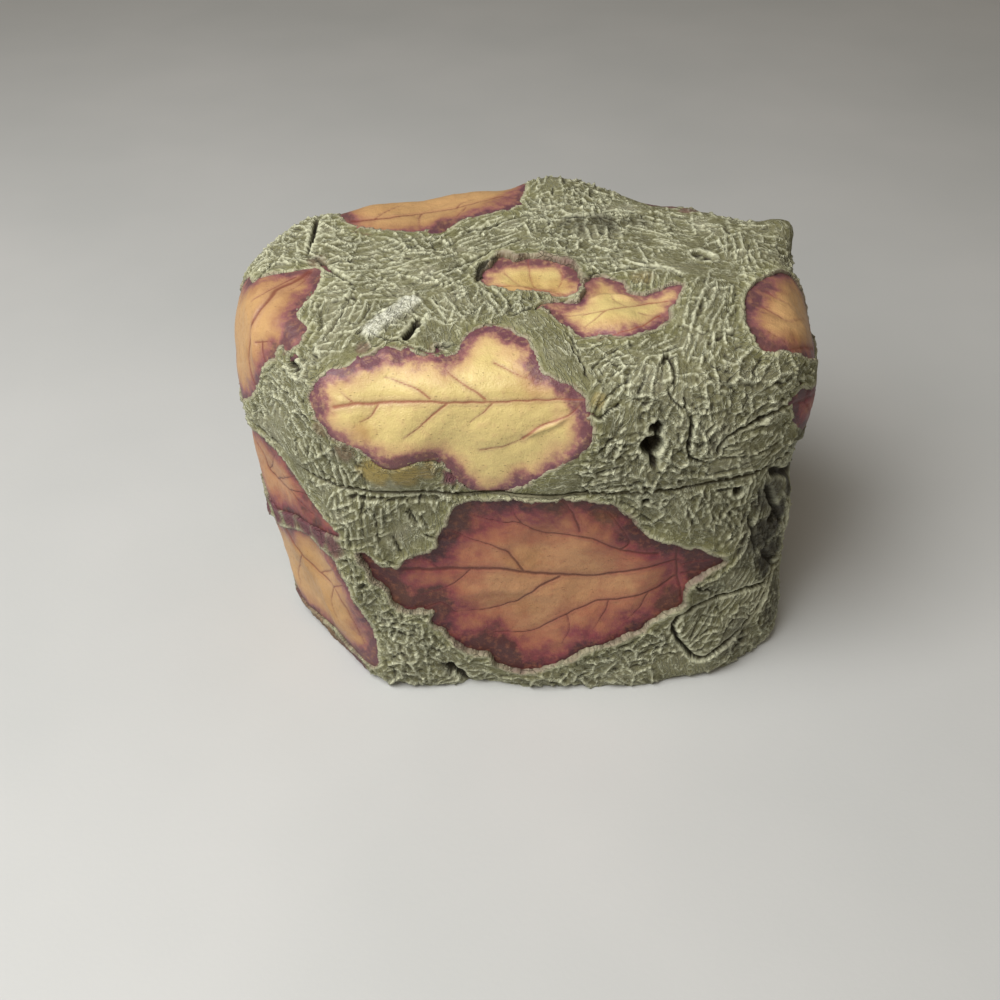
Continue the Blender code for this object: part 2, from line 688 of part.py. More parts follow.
def make_lid(look):
    """The upper shell, hollow underneath, with a straight wall where it drops over the collar."""
    mouth = WALL - COLLAR_THICKNESS - COLLAR_LID_CLEARANCE
    straight = BASE_HEIGHT + COLLAR_RISE + COLLAR_LID_HEADROOM
    ceiling = BASE_HEIGHT + LID_HEIGHT - LID_TOP_THICKNESS
    rings = lid_rings(SEAM_GAP, KNEAD_HEIGHT)[::-1] + [
        inset_ring(mouth, BASE_HEIGHT + SEAM_GAP),
        inset_ring(mouth, straight),
        inset_ring(WALL + COLLAR_THICKNESS, (straight + ceiling) / 2),
        inset_ring(WALL * 2, ceiling),
    ]
    return ring_body("lid_shell", rings, look)


def main():
    for thing in list(bpy.data.objects):
        bpy.data.objects.remove(thing)
    looks = make_materials()
    skin = Skin()
    leaves = make_leaves(looks)
    shells = {"base": make_base(looks["green"]), "lid": make_lid(looks["green"])}
    make_collar(looks["collar"])
    for name, shell in shells.items():
        lay_leaves(shell, [leaf for leaf in leaves if leaf.shell == name], skin)


main()
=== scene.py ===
"""The looks of a leaf-covered clay trinket box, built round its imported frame.

Lengths are millimetres until a mesh is made. The front is -Y, +Z is up, and the box stands on Z = 0.
"""

import math
from functools import partial

import bpy
import numpy as np
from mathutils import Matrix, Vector
from mathutils.bvhtree import BVHTree


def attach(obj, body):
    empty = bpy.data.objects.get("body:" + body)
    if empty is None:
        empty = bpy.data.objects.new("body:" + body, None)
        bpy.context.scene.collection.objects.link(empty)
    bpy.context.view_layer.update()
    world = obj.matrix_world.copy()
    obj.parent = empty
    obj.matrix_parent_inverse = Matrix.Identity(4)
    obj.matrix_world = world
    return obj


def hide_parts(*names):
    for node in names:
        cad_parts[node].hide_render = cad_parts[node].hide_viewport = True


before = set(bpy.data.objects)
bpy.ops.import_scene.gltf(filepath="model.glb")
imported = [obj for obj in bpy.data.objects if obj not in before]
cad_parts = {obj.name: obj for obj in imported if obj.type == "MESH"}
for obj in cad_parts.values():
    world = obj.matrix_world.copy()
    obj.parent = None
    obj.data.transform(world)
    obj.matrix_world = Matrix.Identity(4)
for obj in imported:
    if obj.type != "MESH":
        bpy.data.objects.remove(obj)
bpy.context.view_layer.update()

METRES = 0.001

# The box's own sizes, as it was built
WIDTH, DEPTH = 110.0, 78.0
BASE_HEIGHT, LID_HEIGHT = 51.0, 27.0
SEAM_GAP = 0.3
WALL, FLOOR_THICKNESS, LID_TOP_THICKNESS = 7.0, 7.0, 8.0
COLLAR_SEAT_DEPTH = 10.0
REBATE_INSET, LID_MOUTH_INSET = 4.5, 4.2
LID_STRAIGHT = 6.5
HUMP_REACH, HUMP_RISE = 20.0, 3.0
HORN_REACH, HORN_OUT, HORN_RISE = 9.0, 6.0, 3.5
FRONT_DROOP, DROOP_START_SHARE = 3.5, 0.35

# Plan outline at the seam, as shares of half the width and half the depth
OUTLINE_SHARES = (
    (-0.58, -0.96), (-0.16, -0.99), (0.27, -1.0), (0.58, -0.95), (0.80, -0.82), (0.95, -0.62),
    (1.0, -0.35), (1.0, 0.0), (0.97, 0.36), (0.80, 0.62), (0.45, 0.88), (0.10, 1.0),
    (-0.35, 0.90), (-0.77, 0.66), (-0.98, 0.34), (-1.0, 0.0), (-0.97, -0.30), (-0.80, -0.66),
)
OUTLINE_CENTRE_SHARES = (-0.008, 0.02)

# Sections: share of the height, shares of the outline's width and depth, shift right and back
BASE_SECTION_SHARES = (
    (0.0, 0.975, 1.005, 0.062, -0.035),
    (0.045, 1.0, 1.03, 0.062, -0.035),
    (0.16, 1.003, 1.025, 0.05, -0.03),
    (0.36, 1.008, 1.01, 0.03, -0.02),
    (0.60, 1.015, 1.0, 0.01, -0.01),
    (0.82, 1.02, 1.0, 0.0, 0.0),
    (1.0, 1.015, 1.0, 0.0, 0.0),
)
LID_SECTION_SHARES = (
    (0.0, 1.02, 1.0, 0.0, 0.0),
    (0.12, 1.035, 1.01, 0.0, 0.0),
    (0.33, 1.045, 1.01, 0.006, 0.0),
    (0.55, 1.035, 0.995, 0.008, 0.0),
    (0.74, 1.0, 0.965, 0.01, 0.0),
    (0.86, 0.955, 0.93, 0.005, 0.0),
    (0.93, 0.90, 0.87, 0.0, 0.0),
    (0.965, 0.80, 0.78, 0.0, 0.0),
    (0.985, 0.60, 0.60, 0.0, 0.0),
    (1.0, 0.33, 0.33, 0.0, 0.0),
    (1.0, 0.12, 0.12, 0.0, 0.0),
    (1.0, 0.01, 0.01, 0.0, 0.0),
)
HUMP_SHARES = (0.16, 0.72, 1.0)
HORN_SHARES = (0.93, 0.42, 0.86)

# Swells that kneading left: height, spacing, and each wave's run, share and start
KNEAD_HEIGHT, KNEAD_SPACING = 1.1, 12.0
KNEADING_WAVES = (
    ((0.55, 0.30, 0.45), 0.24, 0.6), ((-0.35, 0.62, 0.20), 0.22, 3.5), ((0.30, -0.48, 0.60), 0.18, 2.2),
    ((-0.72, -0.20, 0.50), 0.14, 5.0), ((0.15, 0.75, -0.62), 0.12, 1.6), ((0.85, 0.42, -0.30), 0.10, 4.1),
)
KNEAD_TURN_SHARES = (0.74, 0.965)

# How fine the crinkled skin is modelled: points round it, and the step between its rows
AROUND = 960
ROW_STEP = 0.33

# The photograph's camera: focal length and middle in pixels, eye place, and tilt down
FOCAL_PX, MIDDLE_PX = 1200.0, 500.0
EYE = Vector((-4.14, -209.3, 193.1))
EYE_TILT = math.radians(40)
SENSOR = 36.0


# Shapes in numbers

def falloff(distance, reach):
    """1 at the middle of a swelling, nearly 0 at its reach."""
    return np.exp(-((distance / (reach / 2)) ** 2) / 2)


def bell(distance, half_width):
    """1 on a line, falling smoothly to about a third at its half width."""
    return np.exp(-((distance / half_width) ** 2))


def ease(value, low, high):
    """0 below low, 1 above high, and smooth between. Low may be the larger."""
    t = np.clip((value - low) / (high - low), 0, 1)
    return t * t * (3 - 2 * t)


def catmull(before, start, end, after, t):
    """Points of the smooth curve from start to end, at shares t of the way."""
    return 0.5 * (
        2 * start
        + (end - before) * t
        + (2 * before - 5 * start + 4 * end - after) * t**2
        + (3 * start - 3 * end + after - before) * t**3
    )


def closed_curve(points, steps):
    """A closed smooth curve through the points."""
    shares = np.linspace(0, 1, steps, endpoint=False)[None, :, None]
    near = [np.roll(points, -k, axis=0)[:, None] for k in (-1, 0, 1, 2)]
    return catmull(*near, shares).reshape(-1, points.shape[1])


def open_curve(points, steps):
    """A smooth curve through the points, from the first to the last."""
    ends = np.vstack([2 * points[0] - points[1], points, 2 * points[-1] - points[-2]])
    shares = np.linspace(0, 1, steps, endpoint=False)[None, :, None]
    near = [ends[k : len(ends) - 3 + k][:, None] for k in range(4)]
    return np.vstack([catmull(*near, shares).reshape(-1, points.shape[1]), points[-1:]])


def evenly(points, count, closed):
    """This many points at even steps along a line of points."""
    line = np.vstack([points, points[:1]]) if closed else points
    lengths = np.concatenate([[0], np.cumsum(np.linalg.norm(np.diff(line, axis=0), axis=1))])
    wanted = np.linspace(0, lengths[-1], count, endpoint=not closed)
    return np.stack([np.interp(wanted, lengths, line[:, k]) for k in range(line.shape[1])], 1)


def unit(vectors):
    return vectors / np.maximum(np.linalg.norm(vectors, axis=-1, keepdims=True), 1e-9)


# Noise that is the same on every run

HASH_STEPS = np.array([73856093, 19349663, 83492791])
SLOPES = unit(np.random.default_rng(7).normal(size=(256, 3)))


def noise(points, scale, seed=0):
    """Smooth noise, about -1 to 1, with swells this long. The scale may differ by axis."""
    places = points / scale + seed * 17.31
    cells = np.floor(places).astype(np.int64)
    part = places - cells
    fade = part**3 * (part * (part * 6 - 15) + 10)
    total = np.zeros(len(places))
    for corner in np.ndindex(2, 2, 2):
        mixed = (cells + corner) @ HASH_STEPS
        mixed = ((mixed ^ (mixed >> 13)) * 1274126177) & 0xFFFFFFFF
        slope = SLOPES[(mixed >> 11) & 255]
        weight = np.where(corner, fade, 1 - fade).prod(axis=1)
        total += weight * ((part - corner) * slope).sum(axis=1)
    return total * 1.7


def layered(points, scale, layers, seed=0):
    """Noise with finer noise on it."""
    return sum(noise(points, scale / 2**k, seed + k) / 2**k for k in range(layers))


# The smooth body under the skin

def plan_place(x_share, y_share):
    """A place in plan, from shares of half the width and half the depth."""
    middle_x, middle_y = OUTLINE_CENTRE_SHARES
    return np.array([(x_share + middle_x) * WIDTH / 2, (y_share + middle_y) * DEPTH / 2])


def plan_outline():
    """The outline at the seam, and its outward directions, at even steps."""
    corners = np.array([plan_place(x, y) for x, y in OUTLINE_SHARES])
    line = evenly(closed_curve(corners, 60), AROUND, True)
    along = np.roll(line, -1, axis=0) - np.roll(line, 1, axis=0)
    return line, unit(np.stack([along[:, 1], -along[:, 0]], 1))


PLAN, PLAN_OUTWARD = plan_outline()


def swollen(points):
    """The lid's outer surface with its hand-made swellings and drooping front."""
    middles = [
        np.array([*plan_place(x, y), BASE_HEIGHT + z * LID_HEIGHT])
        for x, y, z in (HUMP_SHARES, HORN_SHARES)
    ]
    hump, horn = (np.linalg.norm(points - middle, axis=-1) for middle in middles)
    share = falloff(horn, HORN_REACH)[..., None]
    rise = HUMP_RISE * falloff(hump, HUMP_REACH)[..., None]
    outward = unit(middles[1] * (1, 1, 0))
    moved = points + (rise + HORN_RISE * share) * (0, 0, 1) + outward * HORN_OUT * share
    front = np.clip((-moved[..., 1] / (DEPTH / 2) - DROOP_START_SHARE) / (1 - DROOP_START_SHARE), 0, 1)
    above = np.maximum(0, (moved[..., 2] - BASE_HEIGHT) / LID_HEIGHT)
    moved[..., 2] -= FRONT_DROOP * front**2 * above**2
    return moved


def kneaded(points, outward):
    """The outer surface with the swells of kneading."""
    swell = sum(
        share * np.sin(2 * math.pi * (points @ np.array(run)) / KNEAD_SPACING + start)
        for run, share, start in KNEADING_WAVES
    )
    return points + outward * (KNEAD_HEIGHT * swell)[..., None]


def outer_grid(sections, bottom, height, is_lid):
    """Rows of points up an outer surface, at even steps along its profile."""
    keys = np.array(sections)
    keys[:, 0] = bottom + keys[:, 0] * height
    fine = open_curve(keys, 40)
    travel = fine[:, :2] * (1, WIDTH / 2)
    lengths = np.concatenate([[0], np.cumsum(np.linalg.norm(np.diff(travel, axis=0), axis=1))])
    even = np.linspace(0, lengths[-1], int(lengths[-1] / ROW_STEP) + 1)
    z, wide, deep, right, back = (
        np.interp(even, lengths, fine[:, k])[:, None] for k in range(5)
    )
    x = PLAN[:, 0] * wide + right * WIDTH / 2
    y = PLAN[:, 1] * deep + back * DEPTH / 2
    points = np.stack([x, y, z + 0 * x], -1)
    first, last = KNEAD_TURN_SHARES
    turned = np.clip(((z - bottom) / height - first) / (last - first), 0, 1) * is_lid + 0 * x
    sideways = PLAN_OUTWARD[None] * (1 - turned)[..., None]
    outward = unit(np.concatenate([sideways, turned[..., None]], -1))
    return kneaded(swollen(points) if is_lid else points, outward)


def grid_normals(grid):
    along = np.roll(grid, -1, axis=1) - np.roll(grid, 1, axis=1)
    return unit(np.cross(along, np.gradient(grid, axis=0)))


BASE_GRID = outer_grid(BASE_SECTION_SHARES, 0, BASE_HEIGHT, False)
BASE_GRID[0, :, 2] = 0
BASE_GRID[-1, :, 2] = BASE_HEIGHT
LID_GRID = outer_grid(LID_SECTION_SHARES, BASE_HEIGHT, LID_HEIGHT, True)
LID_GRID[..., 2] = BASE_HEIGHT + SEAM_GAP + (LID_GRID[..., 2] - BASE_HEIGHT) * (1 - SEAM_GAP / LID_HEIGHT)


def smooth_skin():
    """The closed box's smooth outside as a search tree, at half the skin's fineness."""
    grid = np.concatenate([BASE_GRID[:-1:2, ::2], LID_GRID[::2, ::2]])
    rows, count = grid.shape[:2]
    number = np.arange(rows * count).reshape(rows, count)
    after = np.roll(number, -1, axis=1)
    faces = np.stack([number[:-1], after[:-1], after[1:], number[1:]], -1).reshape(-1, 4)
    return BVHTree.FromPolygons(grid.reshape(-1, 3).tolist(), faces.tolist())


SKIN = smooth_skin()


def sight(pixel):
    """The direction from the photograph's camera through a pixel."""
    x, y = (pixel[0] - MIDDLE_PX) / FOCAL_PX, (MIDDLE_PX - pixel[1]) / FOCAL_PX
    c, s = math.cos(EYE_TILT), math.sin(EYE_TILT)
    return Vector((x, c + y * s, y * c - s)).normalized()


def on_skin(pixels):
    """The places on the smooth skin that the photograph's pixels show."""
    found = []
    for pixel in pixels:
        way = sight(pixel)
        place = SKIN.ray_cast(EYE, way)[0]
        if place is None:
            steps = [EYE + way * far for far in range(150, 330)]
            place = min((SKIN.find_nearest(step) for step in steps), key=lambda hit: hit[3])[0]
        found.append(tuple(place))
    return np.array(found)


def distance_to_line(points, line):
    """Each point's distance to a line of points, and the share of the line's length it is at."""
    best = np.full(len(points), 1e9)
    share = np.zeros(len(points))
    for k, (start, end) in enumerate(zip(line[:-1], line[1:])):
        way = end - start
        t = np.clip((points - start) @ way / max(way @ way, 1e-12), 0, 1)
        far = np.linalg.norm(points - start - t[:, None] * way, axis=1)
        nearer = far < best
        best[nearer] = far[nearer]
        share[nearer] = (k + t[nearer]) / (len(line) - 1)
    return best, share


# The torn rims of the four leaves whose whole outline the photograph shows
LEAF_RIMS_PX = {
    "lid_front_leaf": (
        (311.5, 401), (316, 387), (325, 375.5), (338, 370), (350, 369), (357, 362), (373, 357),
        (382, 351.5),
        (392, 348.5), (399.5, 352.5), (407, 349.5), (418.5, 354.5), (432, 355.5), (441.5, 359),
        (453, 355.5),
        (462.5, 347.5), (468.5, 338), (478, 330.5), (487.5, 327.5), (503, 329.5), (516, 335), (527.5, 341),
        (532.5, 350.5), (535, 361), (541, 371.5), (552.5, 379), (564, 383), (575.5, 389), (583, 397.5),
        (585, 406), (587, 417.5), (591, 429), (589, 442.5), (577.5, 452), (564, 461.5), (545, 471),
        (529.5, 480.5), (514, 487.5), (495, 492), (476, 489.5), (462.5, 482.5), (453, 473), (445.5, 463.5),
        (434, 457.5), (418.5, 458.5), (403, 463.5), (392, 466.5), (380.5, 462.5), (371, 457), (363, 450),
        (352, 444.5), (338, 438.5), (328.5, 433), (325, 427), (319, 419.5), (315, 410),
    ),
    "lid_top_leaf": (
        (479, 282.5), (483, 269), (492, 262), (501, 254), (514, 257.5), (533, 256), (552, 257.5),
        (569.5, 263.5),
        (578.5, 271), (582, 278), (580, 290), (577, 296), (564, 298), (546, 295.5), (529, 293.5),
        (511, 294),
        (496.5, 290.5), (485, 285.5),
    ),
    "lid_fold_leaf": (
        (585, 282.5), (596, 277), (611, 279.5), (622.5, 284), (628.5, 293), (643, 295.5), (658, 291),
        (674, 285.5), (681, 287), (678, 299), (669.5, 310.5), (666.5, 322), (652, 329.5), (631.5, 335),
        (611, 337.5), (594.5, 338), (581.5, 337), (569.5, 329.5), (558, 320.5), (549, 313.5), (543, 307.5),
        (552, 303.5), (564, 302.5), (577, 302.5), (584, 294),
    ),
    "base_front_leaf": (
        (357.5, 552), (368.5, 554.5), (382, 566), (397, 567), (409.5, 558.5), (424.5, 553.5), (437, 546),
        (438.5, 539.5), (442, 530), (449.5, 517.5), (453, 508.5), (462, 502), (479.5, 500), (500, 499.5),
        (524, 500), (561, 500.5), (594, 502), (613.5, 505.5), (628.5, 515), (638.5, 527.5), (656, 539.5),
        (671, 542), (683.5, 548.5), (698.5, 548.5), (710.5, 554.5), (724.5, 561), (710.5, 571),
        (693.5, 579.5),
        (684, 589.5), (682, 604.5), (666, 612), (653.5, 619.5), (636, 631.5), (613.5, 641.5), (589, 649),
        (569, 659), (549, 666.5), (534, 670.5), (514, 669), (497, 664), (489.5, 654), (474.5, 651.5),
        (462, 646.5), (452, 639), (442, 629.5), (432, 622), (432, 612), (414.5, 612), (400, 608),
        (392.5, 602),
        (391, 592), (382.5, 584.5), (372.5, 577), (365, 564.5),
    ),
}


# Leaves: where each lies comes from its own solid in the frame

class LeafBed:
    """One leaf's outline on the skin and its flat chart."""

    def __init__(self, node):
        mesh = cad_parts[node].data
        places = np.array([v.co for v in mesh.vertices]) / METRES
        _, first, same = np.unique(places.round(3), axis=0, return_index=True, return_inverse=True)
        places = places[first]
        mesh.calc_loop_triangles()
        corners = same.ravel()[np.array([t.vertices for t in mesh.loop_triangles])]
        sides = [places[corners[:, k]] for k in range(3)]
        facing = np.cross(sides[1] - sides[0], sides[2] - sides[0])
        middles = sum(sides) / 3
        local = np.array([SKIN.find_nearest(Vector(m))[1] for m in middles])
        cap = (unit(facing) * local).sum(axis=1) > 0.6
        self.node = node
        self.outward = unit(facing[cap].sum(axis=0))
        self.middle = middles[cap].mean(axis=0)
        azimuth = math.atan2(self.outward[0], -self.outward[1])
        self.right = np.array([math.cos(azimuth), math.sin(azimuth), 0])
        self.up = np.cross(self.outward, self.right)
        loop = places[self.rim_of(corners[cap])]
        if node in LEAF_RIMS_PX:
            loop = on_skin(LEAF_RIMS_PX[node])
        self.loop = closed_curve(loop, 5)
        self.flat_loop = self.flat(self.loop)

    @staticmethod
    def rim_of(triangles):
        """The vertices round a patch of triangles, in order."""
        ways = {(a, b) for t in triangles.tolist() for a, b in zip(t, t[1:] + t[:1])}
        after = {a: b for a, b in ways if (b, a) not in ways}
        start = next(iter(sorted(after)))
        rim = [start]
        while after[rim[-1]] != start and len(rim) < len(after):
            rim.append(after[rim[-1]])
        return rim

    def flat(self, points):
        """Points in the leaf's own plane: right and up from its middle."""
        away = points - self.middle
        return np.stack([away @ self.right, away @ self.up], -1)

    def outside(self, flat_points, places=None):
        """Distance outside the outline, negative inside it, for points of the plane."""
        line = np.vstack([self.flat_loop, self.flat_loop[:1]])
        within = np.zeros(len(flat_points), bool)
        x, y = flat_points[:, 0], flat_points[:, 1]
        for (x0, y0), (x1, y1) in zip(line[:-1], line[1:]):
            if y0 != y1:
                crosses = (y0 > y) != (y1 > y)
                within ^= crosses & (x < x0 + (y - y0) / (y1 - y0) * (x1 - x0))
        if places is None:
            far, _ = distance_to_line(flat_points, line)
        else:
            far, _ = distance_to_line(places, np.vstack([self.loop, self.loop[:1]]))
        return np.where(within, -far, far)

    def reach(self, points, normals, margin):
        """Which points lie near this leaf, on its own side of the box."""
        radius = np.linalg.norm(self.loop - self.middle, axis=1).max() + margin
        near = ((points - self.middle) ** 2).sum(axis=1) < radius**2
        return np.flatnonzero(near & (normals @ self.outward > 0.05))


LEAF_NODES = [n for n in sorted(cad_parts) if n.endswith("_leaf")]
BEDS = {node: LeafBed(node) for node in LEAF_NODES}


# Torn sheets of skin that the photograph shows: place, the way their creases run, and their kind
COMBED, CRUMPLED, SMOOTH, FROSTED = (1.0, 0.15), (0.35, 1.0), (0.25, 0.12), (0.3, 0.9)
SHEET_PINS_PX = {
    COMBED: (
        (300, 262, 12, 2), (345, 245, 30, -3), (345, 268, 25, -2), (395, 235, 30, -6),
        (400, 265, 30, -8), (440, 245, 30, -12), (470, 240, 30, -13), (505, 228, 30, -10),
        (450, 280, 25, -10), (440, 310, 10, 12), (425, 285, 20, -6), (385, 290, 30, -3),
        (350, 310, 12, -25), (335, 290, 30, -3), (310, 320, 10, -20), (330, 345, 20, -25),
        (360, 345, 25, -20), (320, 440, 12, 22), (335, 470, 10, 25), (345, 500, 5, 25),
        (350, 530, 3, 25), (380, 520, 3, 20), (435, 515, 2, 20),
        (650, 240, 25, 5), (690, 225, 25, 0), (730, 245, 5, 20), (765, 240, 25, 2),
        (700, 300, -5, 25), (725, 320, -7, 25), (745, 320, 0, 25), (700, 350, -6, 25),
        (650, 350, 25, -10), (600, 345, 25, -8), (610, 400, -10, 20), (680, 380, -3, 25),
        (730, 465, 25, -3), (760, 440, 25, -18), (600, 475, 20, -3), (690, 510, 10, 20),
        (720, 520, 10, 20), (750, 500, -5, 20), (755, 530, -7, 20), (710, 590, -10, 18),
        (740, 590, -12, 18), (700, 625, -12, 18), (740, 612, -14, 20), (765, 590, -8, 20),
        (500, 672, 25, 0),
    ),
    CRUMPLED: (
        (275, 245, 10, -3), (470, 298, 6, 14), (300, 365, 8, 6), (285, 385, 15, 20),
        (300, 410, 15, 22), (362, 575, 5, 20), (375, 610, 10, 15), (400, 640, 20, 12),
        (420, 665, 25, 5), (440, 650, 20, 15), (540, 225, 25, 0), (600, 200, 20, 5),
        (560, 240, 20, -3), (610, 235, 20, 4), (620, 360, 20, -12), (640, 385, -8, 20),
        (720, 375, 20, 10), (750, 360, 20, -12), (780, 375, 15, -12), (760, 400, 25, -15),
        (610, 440, -2, 20), (640, 468, 4, 20), (675, 425, 10, 15), (672, 468, 20, 5),
        (712, 440, 5, 20), (650, 505, 20, 10), (780, 520, 0, 20), (768, 548, 4, 20),
        (640, 650, 25, -8), (600, 665, 25, -3), (540, 678, 25, 2), (700, 400, 5, 20),
    ),
    SMOOTH: (
        (345, 365, 30, -28), (430, 330, 5, 20), (705, 262, 20, 3), (555, 345, 15, 25),
        (568, 375, 15, 25), (560, 480, 25, -3), (700, 545, 25, 5), (690, 600, 10, -3),
        (400, 480, 25, 0), (615, 425, -2, 20), (410, 530, 3, 20),
    ),
    FROSTED: ((395, 316, 10, -8),),
}
SHEET_SPACING = 8.5
SHEET_LEVEL = 0.24
TORN_SHARE = 0.16

# Dark gaps torn or pressed into the skin: width, depth, and their run
GAPS_PX = (
    (1.0, 1.6, ((317, 221), (313, 238), (308, 254))),
    (0.8, 1.2, ((317, 259), (333, 273), (354, 286))),
    (0.3, 0.5, ((358, 287), (347, 304), (336, 324), (326, 343), (308, 377))),
    (1.7, 2.4, ((404, 339), (410, 331), (418, 320))),
    (0.7, 1.2, ((372, 334), (389, 340), (402, 339))),
    (1.0, 1.3, ((466, 231), (490, 227), (521, 216))),
    (1.1, 1.4, ((452, 268), (481, 256), (501, 246), (522, 238))),
    (2.0, 2.0, ((488, 260), (481, 269), (478, 283))),
    (1.1, 1.6, ((558, 218), (587, 216), (612, 211), (641, 213))),
    (1.0, 1.3, ((585, 280), (599, 273), (624, 269), (653, 267), (672, 271), (682, 277))),
    (1.6, 2.4, ((661, 427), (655, 440), (652, 452), (655, 470))),
    (0.9, 1.5, ((691, 416), (692, 431), (689, 446), (691, 459), (707, 463))),
    (0.9, 1.3, ((717, 456), (722, 443), (736, 432), (755, 422), (779, 410), (800, 396))),
    (1.1, 1.9, ((775, 564), (764, 582), (748, 588), (722, 596), (690, 609), (675, 622), (676, 636),
                (690, 654), (704, 658), (720, 648), (743, 625), (759, 604), (767, 585), (774, 567))),
    (1.0, 1.6, ((477, 285), (480, 270), (490, 262), (500, 255))),
    (0.8, 1.2, ((534, 310), (546, 304), (556, 304), (567, 300))),
    (0.7, 1.3, ((370, 458), (380, 465), (391, 469), (404, 466), (419, 461), (434, 460), (444, 465))),
    (1.5, 2.0, ((393, 592), (400, 604), (413, 614))),
    (1.6, 2.0, ((766, 486), (770, 498), (775, 510))),
    (2.2, 2.2, ((771, 511), (778, 516), (783, 522))),
    (2.0, 2.0, ((762, 550), (768, 558), (774, 566))),
    (0.9, 1.3, ((778, 560), (783, 540), (785, 515), (783, 495))),
    (0.8, 1.2, ((748, 515), (751, 535), (757, 556))),
    (0.35, 0.6, ((663, 350), (672, 362), (676, 378), (668, 392), (676, 404), (684, 410))),
    (0.3, 0.5, ((590, 372), (604, 358), (620, 348))),
    (0.3, 0.5, ((596, 410), (612, 392), (632, 378))),
    (0.3, 0.5, ((598, 452), (610, 440), (622, 424))),
    (2.6, 1.9, ((770, 470), (782, 472), (795, 468))),
    (1.6, 1.8, ((769, 488), (773, 502), (780, 520))),
    (1.2, 1.4, ((775, 515), (768, 530), (766, 552))),
    (2.2, 2.0, ((446, 664), (458, 671), (470, 680))),
    (0.8, 1.2, ((274, 262), (262, 276), (257, 290))),
    (0.7, 1.0, ((286, 238), (300, 234), (318, 232))),
    (0.6, 0.9, ((425, 430), (431, 445), (430, 452))),
    (0.6, 0.8, ((571, 349), (580, 361), (587, 378))),
    (0.5, 0.7, ((408, 508), (412, 516), (417, 524))),
    (0.5, 0.7, ((392, 536), (397, 545), (402, 553))),
    (0.3, 0.5, ((374, 512), (377, 528), (379, 544))),
)

# Raised cords and folded lips: width, height, and their run
CORDS_PX = (
    (0.45, 0.4, ((355, 287), (341, 305), (331, 323), (318, 350))),
    (0.5, 0.5, ((355, 333), (327, 337), (314, 352), (305, 375))),
    (0.6, 0.5, ((301, 307), (316, 302), (336, 301))),
    (0.5, 0.6, ((711, 271), (704, 290), (693, 323), (684, 375))),
    (0.5, 0.6, ((735, 283), (728, 298), (714, 321), (703, 356), (695, 392))),
    (0.45, 0.55, ((730, 313), (724, 329), (726, 350))),
    (0.45, 0.55, ((741, 298), (740, 320), (739, 350))),
    (0.5, 0.6, ((753, 240), (757, 252), (763, 268))),
    (0.45, 0.6, ((732, 238), (736, 262))),
    (0.45, 0.6, ((774, 238), (778, 262))),
    (0.45, 0.5, ((784, 246), (786, 254), (778, 262))),
    (0.5, 0.5, ((564, 342), (576, 358), (585, 375))),
    (0.5, 0.5, ((393, 233), (404, 247), (412, 255))),
    (0.5, 0.5, ((417, 233), (432, 248))),
    (0.5, 0.5, ((346, 260), (350, 273))),
    (0.5, 0.5, ((360, 228), (361, 246))),
    (0.45, 0.5, ((335, 231), (334, 240))),
    (0.5, 0.5, ((297, 246), (302, 262))),
    (0.6, 0.6, ((450, 268), (466, 276), (478, 290), (492, 302), (502, 312))),
    (0.5, 0.5, ((463, 272), (476, 284), (486, 296), (497, 300))),
    (0.8, 0.8, ((688, 588), (708, 579), (727, 566), (739, 552), (745, 537), (754, 517), (761, 497))),
    (0.6, 0.7, ((776, 484), (784, 505), (783, 540), (778, 560))),
    (0.5, 0.5, ((714, 489), (728, 503), (744, 520))),
    (0.5, 0.5, ((700, 488), (709, 512), (713, 538))),
    (0.5, 0.5, ((322, 420), (334, 446), (346, 482), (352, 500))),
    (0.5, 0.5, ((310, 410), (326, 446), (340, 484), (345, 510))),
    (0.5, 0.5, ((345, 520), (350, 545), (360, 575))),
    (0.6, 0.6, ((671, 447), (660, 476), (652, 485))),
    (0.6, 0.6, ((698, 424), (706, 440), (714, 458))),
    (0.6, 0.6, ((699, 458), (709, 447), (716, 436))),
)

# Round holes and hollows: width, depth and place
HOLES_PX = (
    (4.2, 3.2, (652, 446)),
    (2.4, 2.0, (656, 427)),
    (1.5, 1.8, (646, 487)),
    (1.5, 1.8, (645, 500)),
    (2.4, 2.2, (738, 491)),
    (3.6, 1.1, (294, 364)),
    (2.2, 0.9, (299, 371)),
    (3.8, 0.8, (701, 258)),
    (2.6, 0.6, (709, 260)),
    (3.4, 1.6, (772, 515)),
    (2.6, 1.6, (774, 556)),
    (2.0, 1.5, (398, 601)),
)

# Where the base's rim shows below the lid's edge, and where the skin rises in a pale tuft
OPEN_SEAM_PX = ((352, 497), (395, 499), (436, 498))
TUFT_PX = ((372, 331), (392, 316), (412, 303))
TUFT_WIDTH, TUFT_RISE = 5.0, 0.7


def on_surface(points, ways):
    """Directions laid flat on the skin at these points."""
    normals = np.array([SKIN.find_nearest(Vector(p))[1] for p in points])
    return unit(ways - (ways * normals).sum(axis=1, keepdims=True) * normals), normals


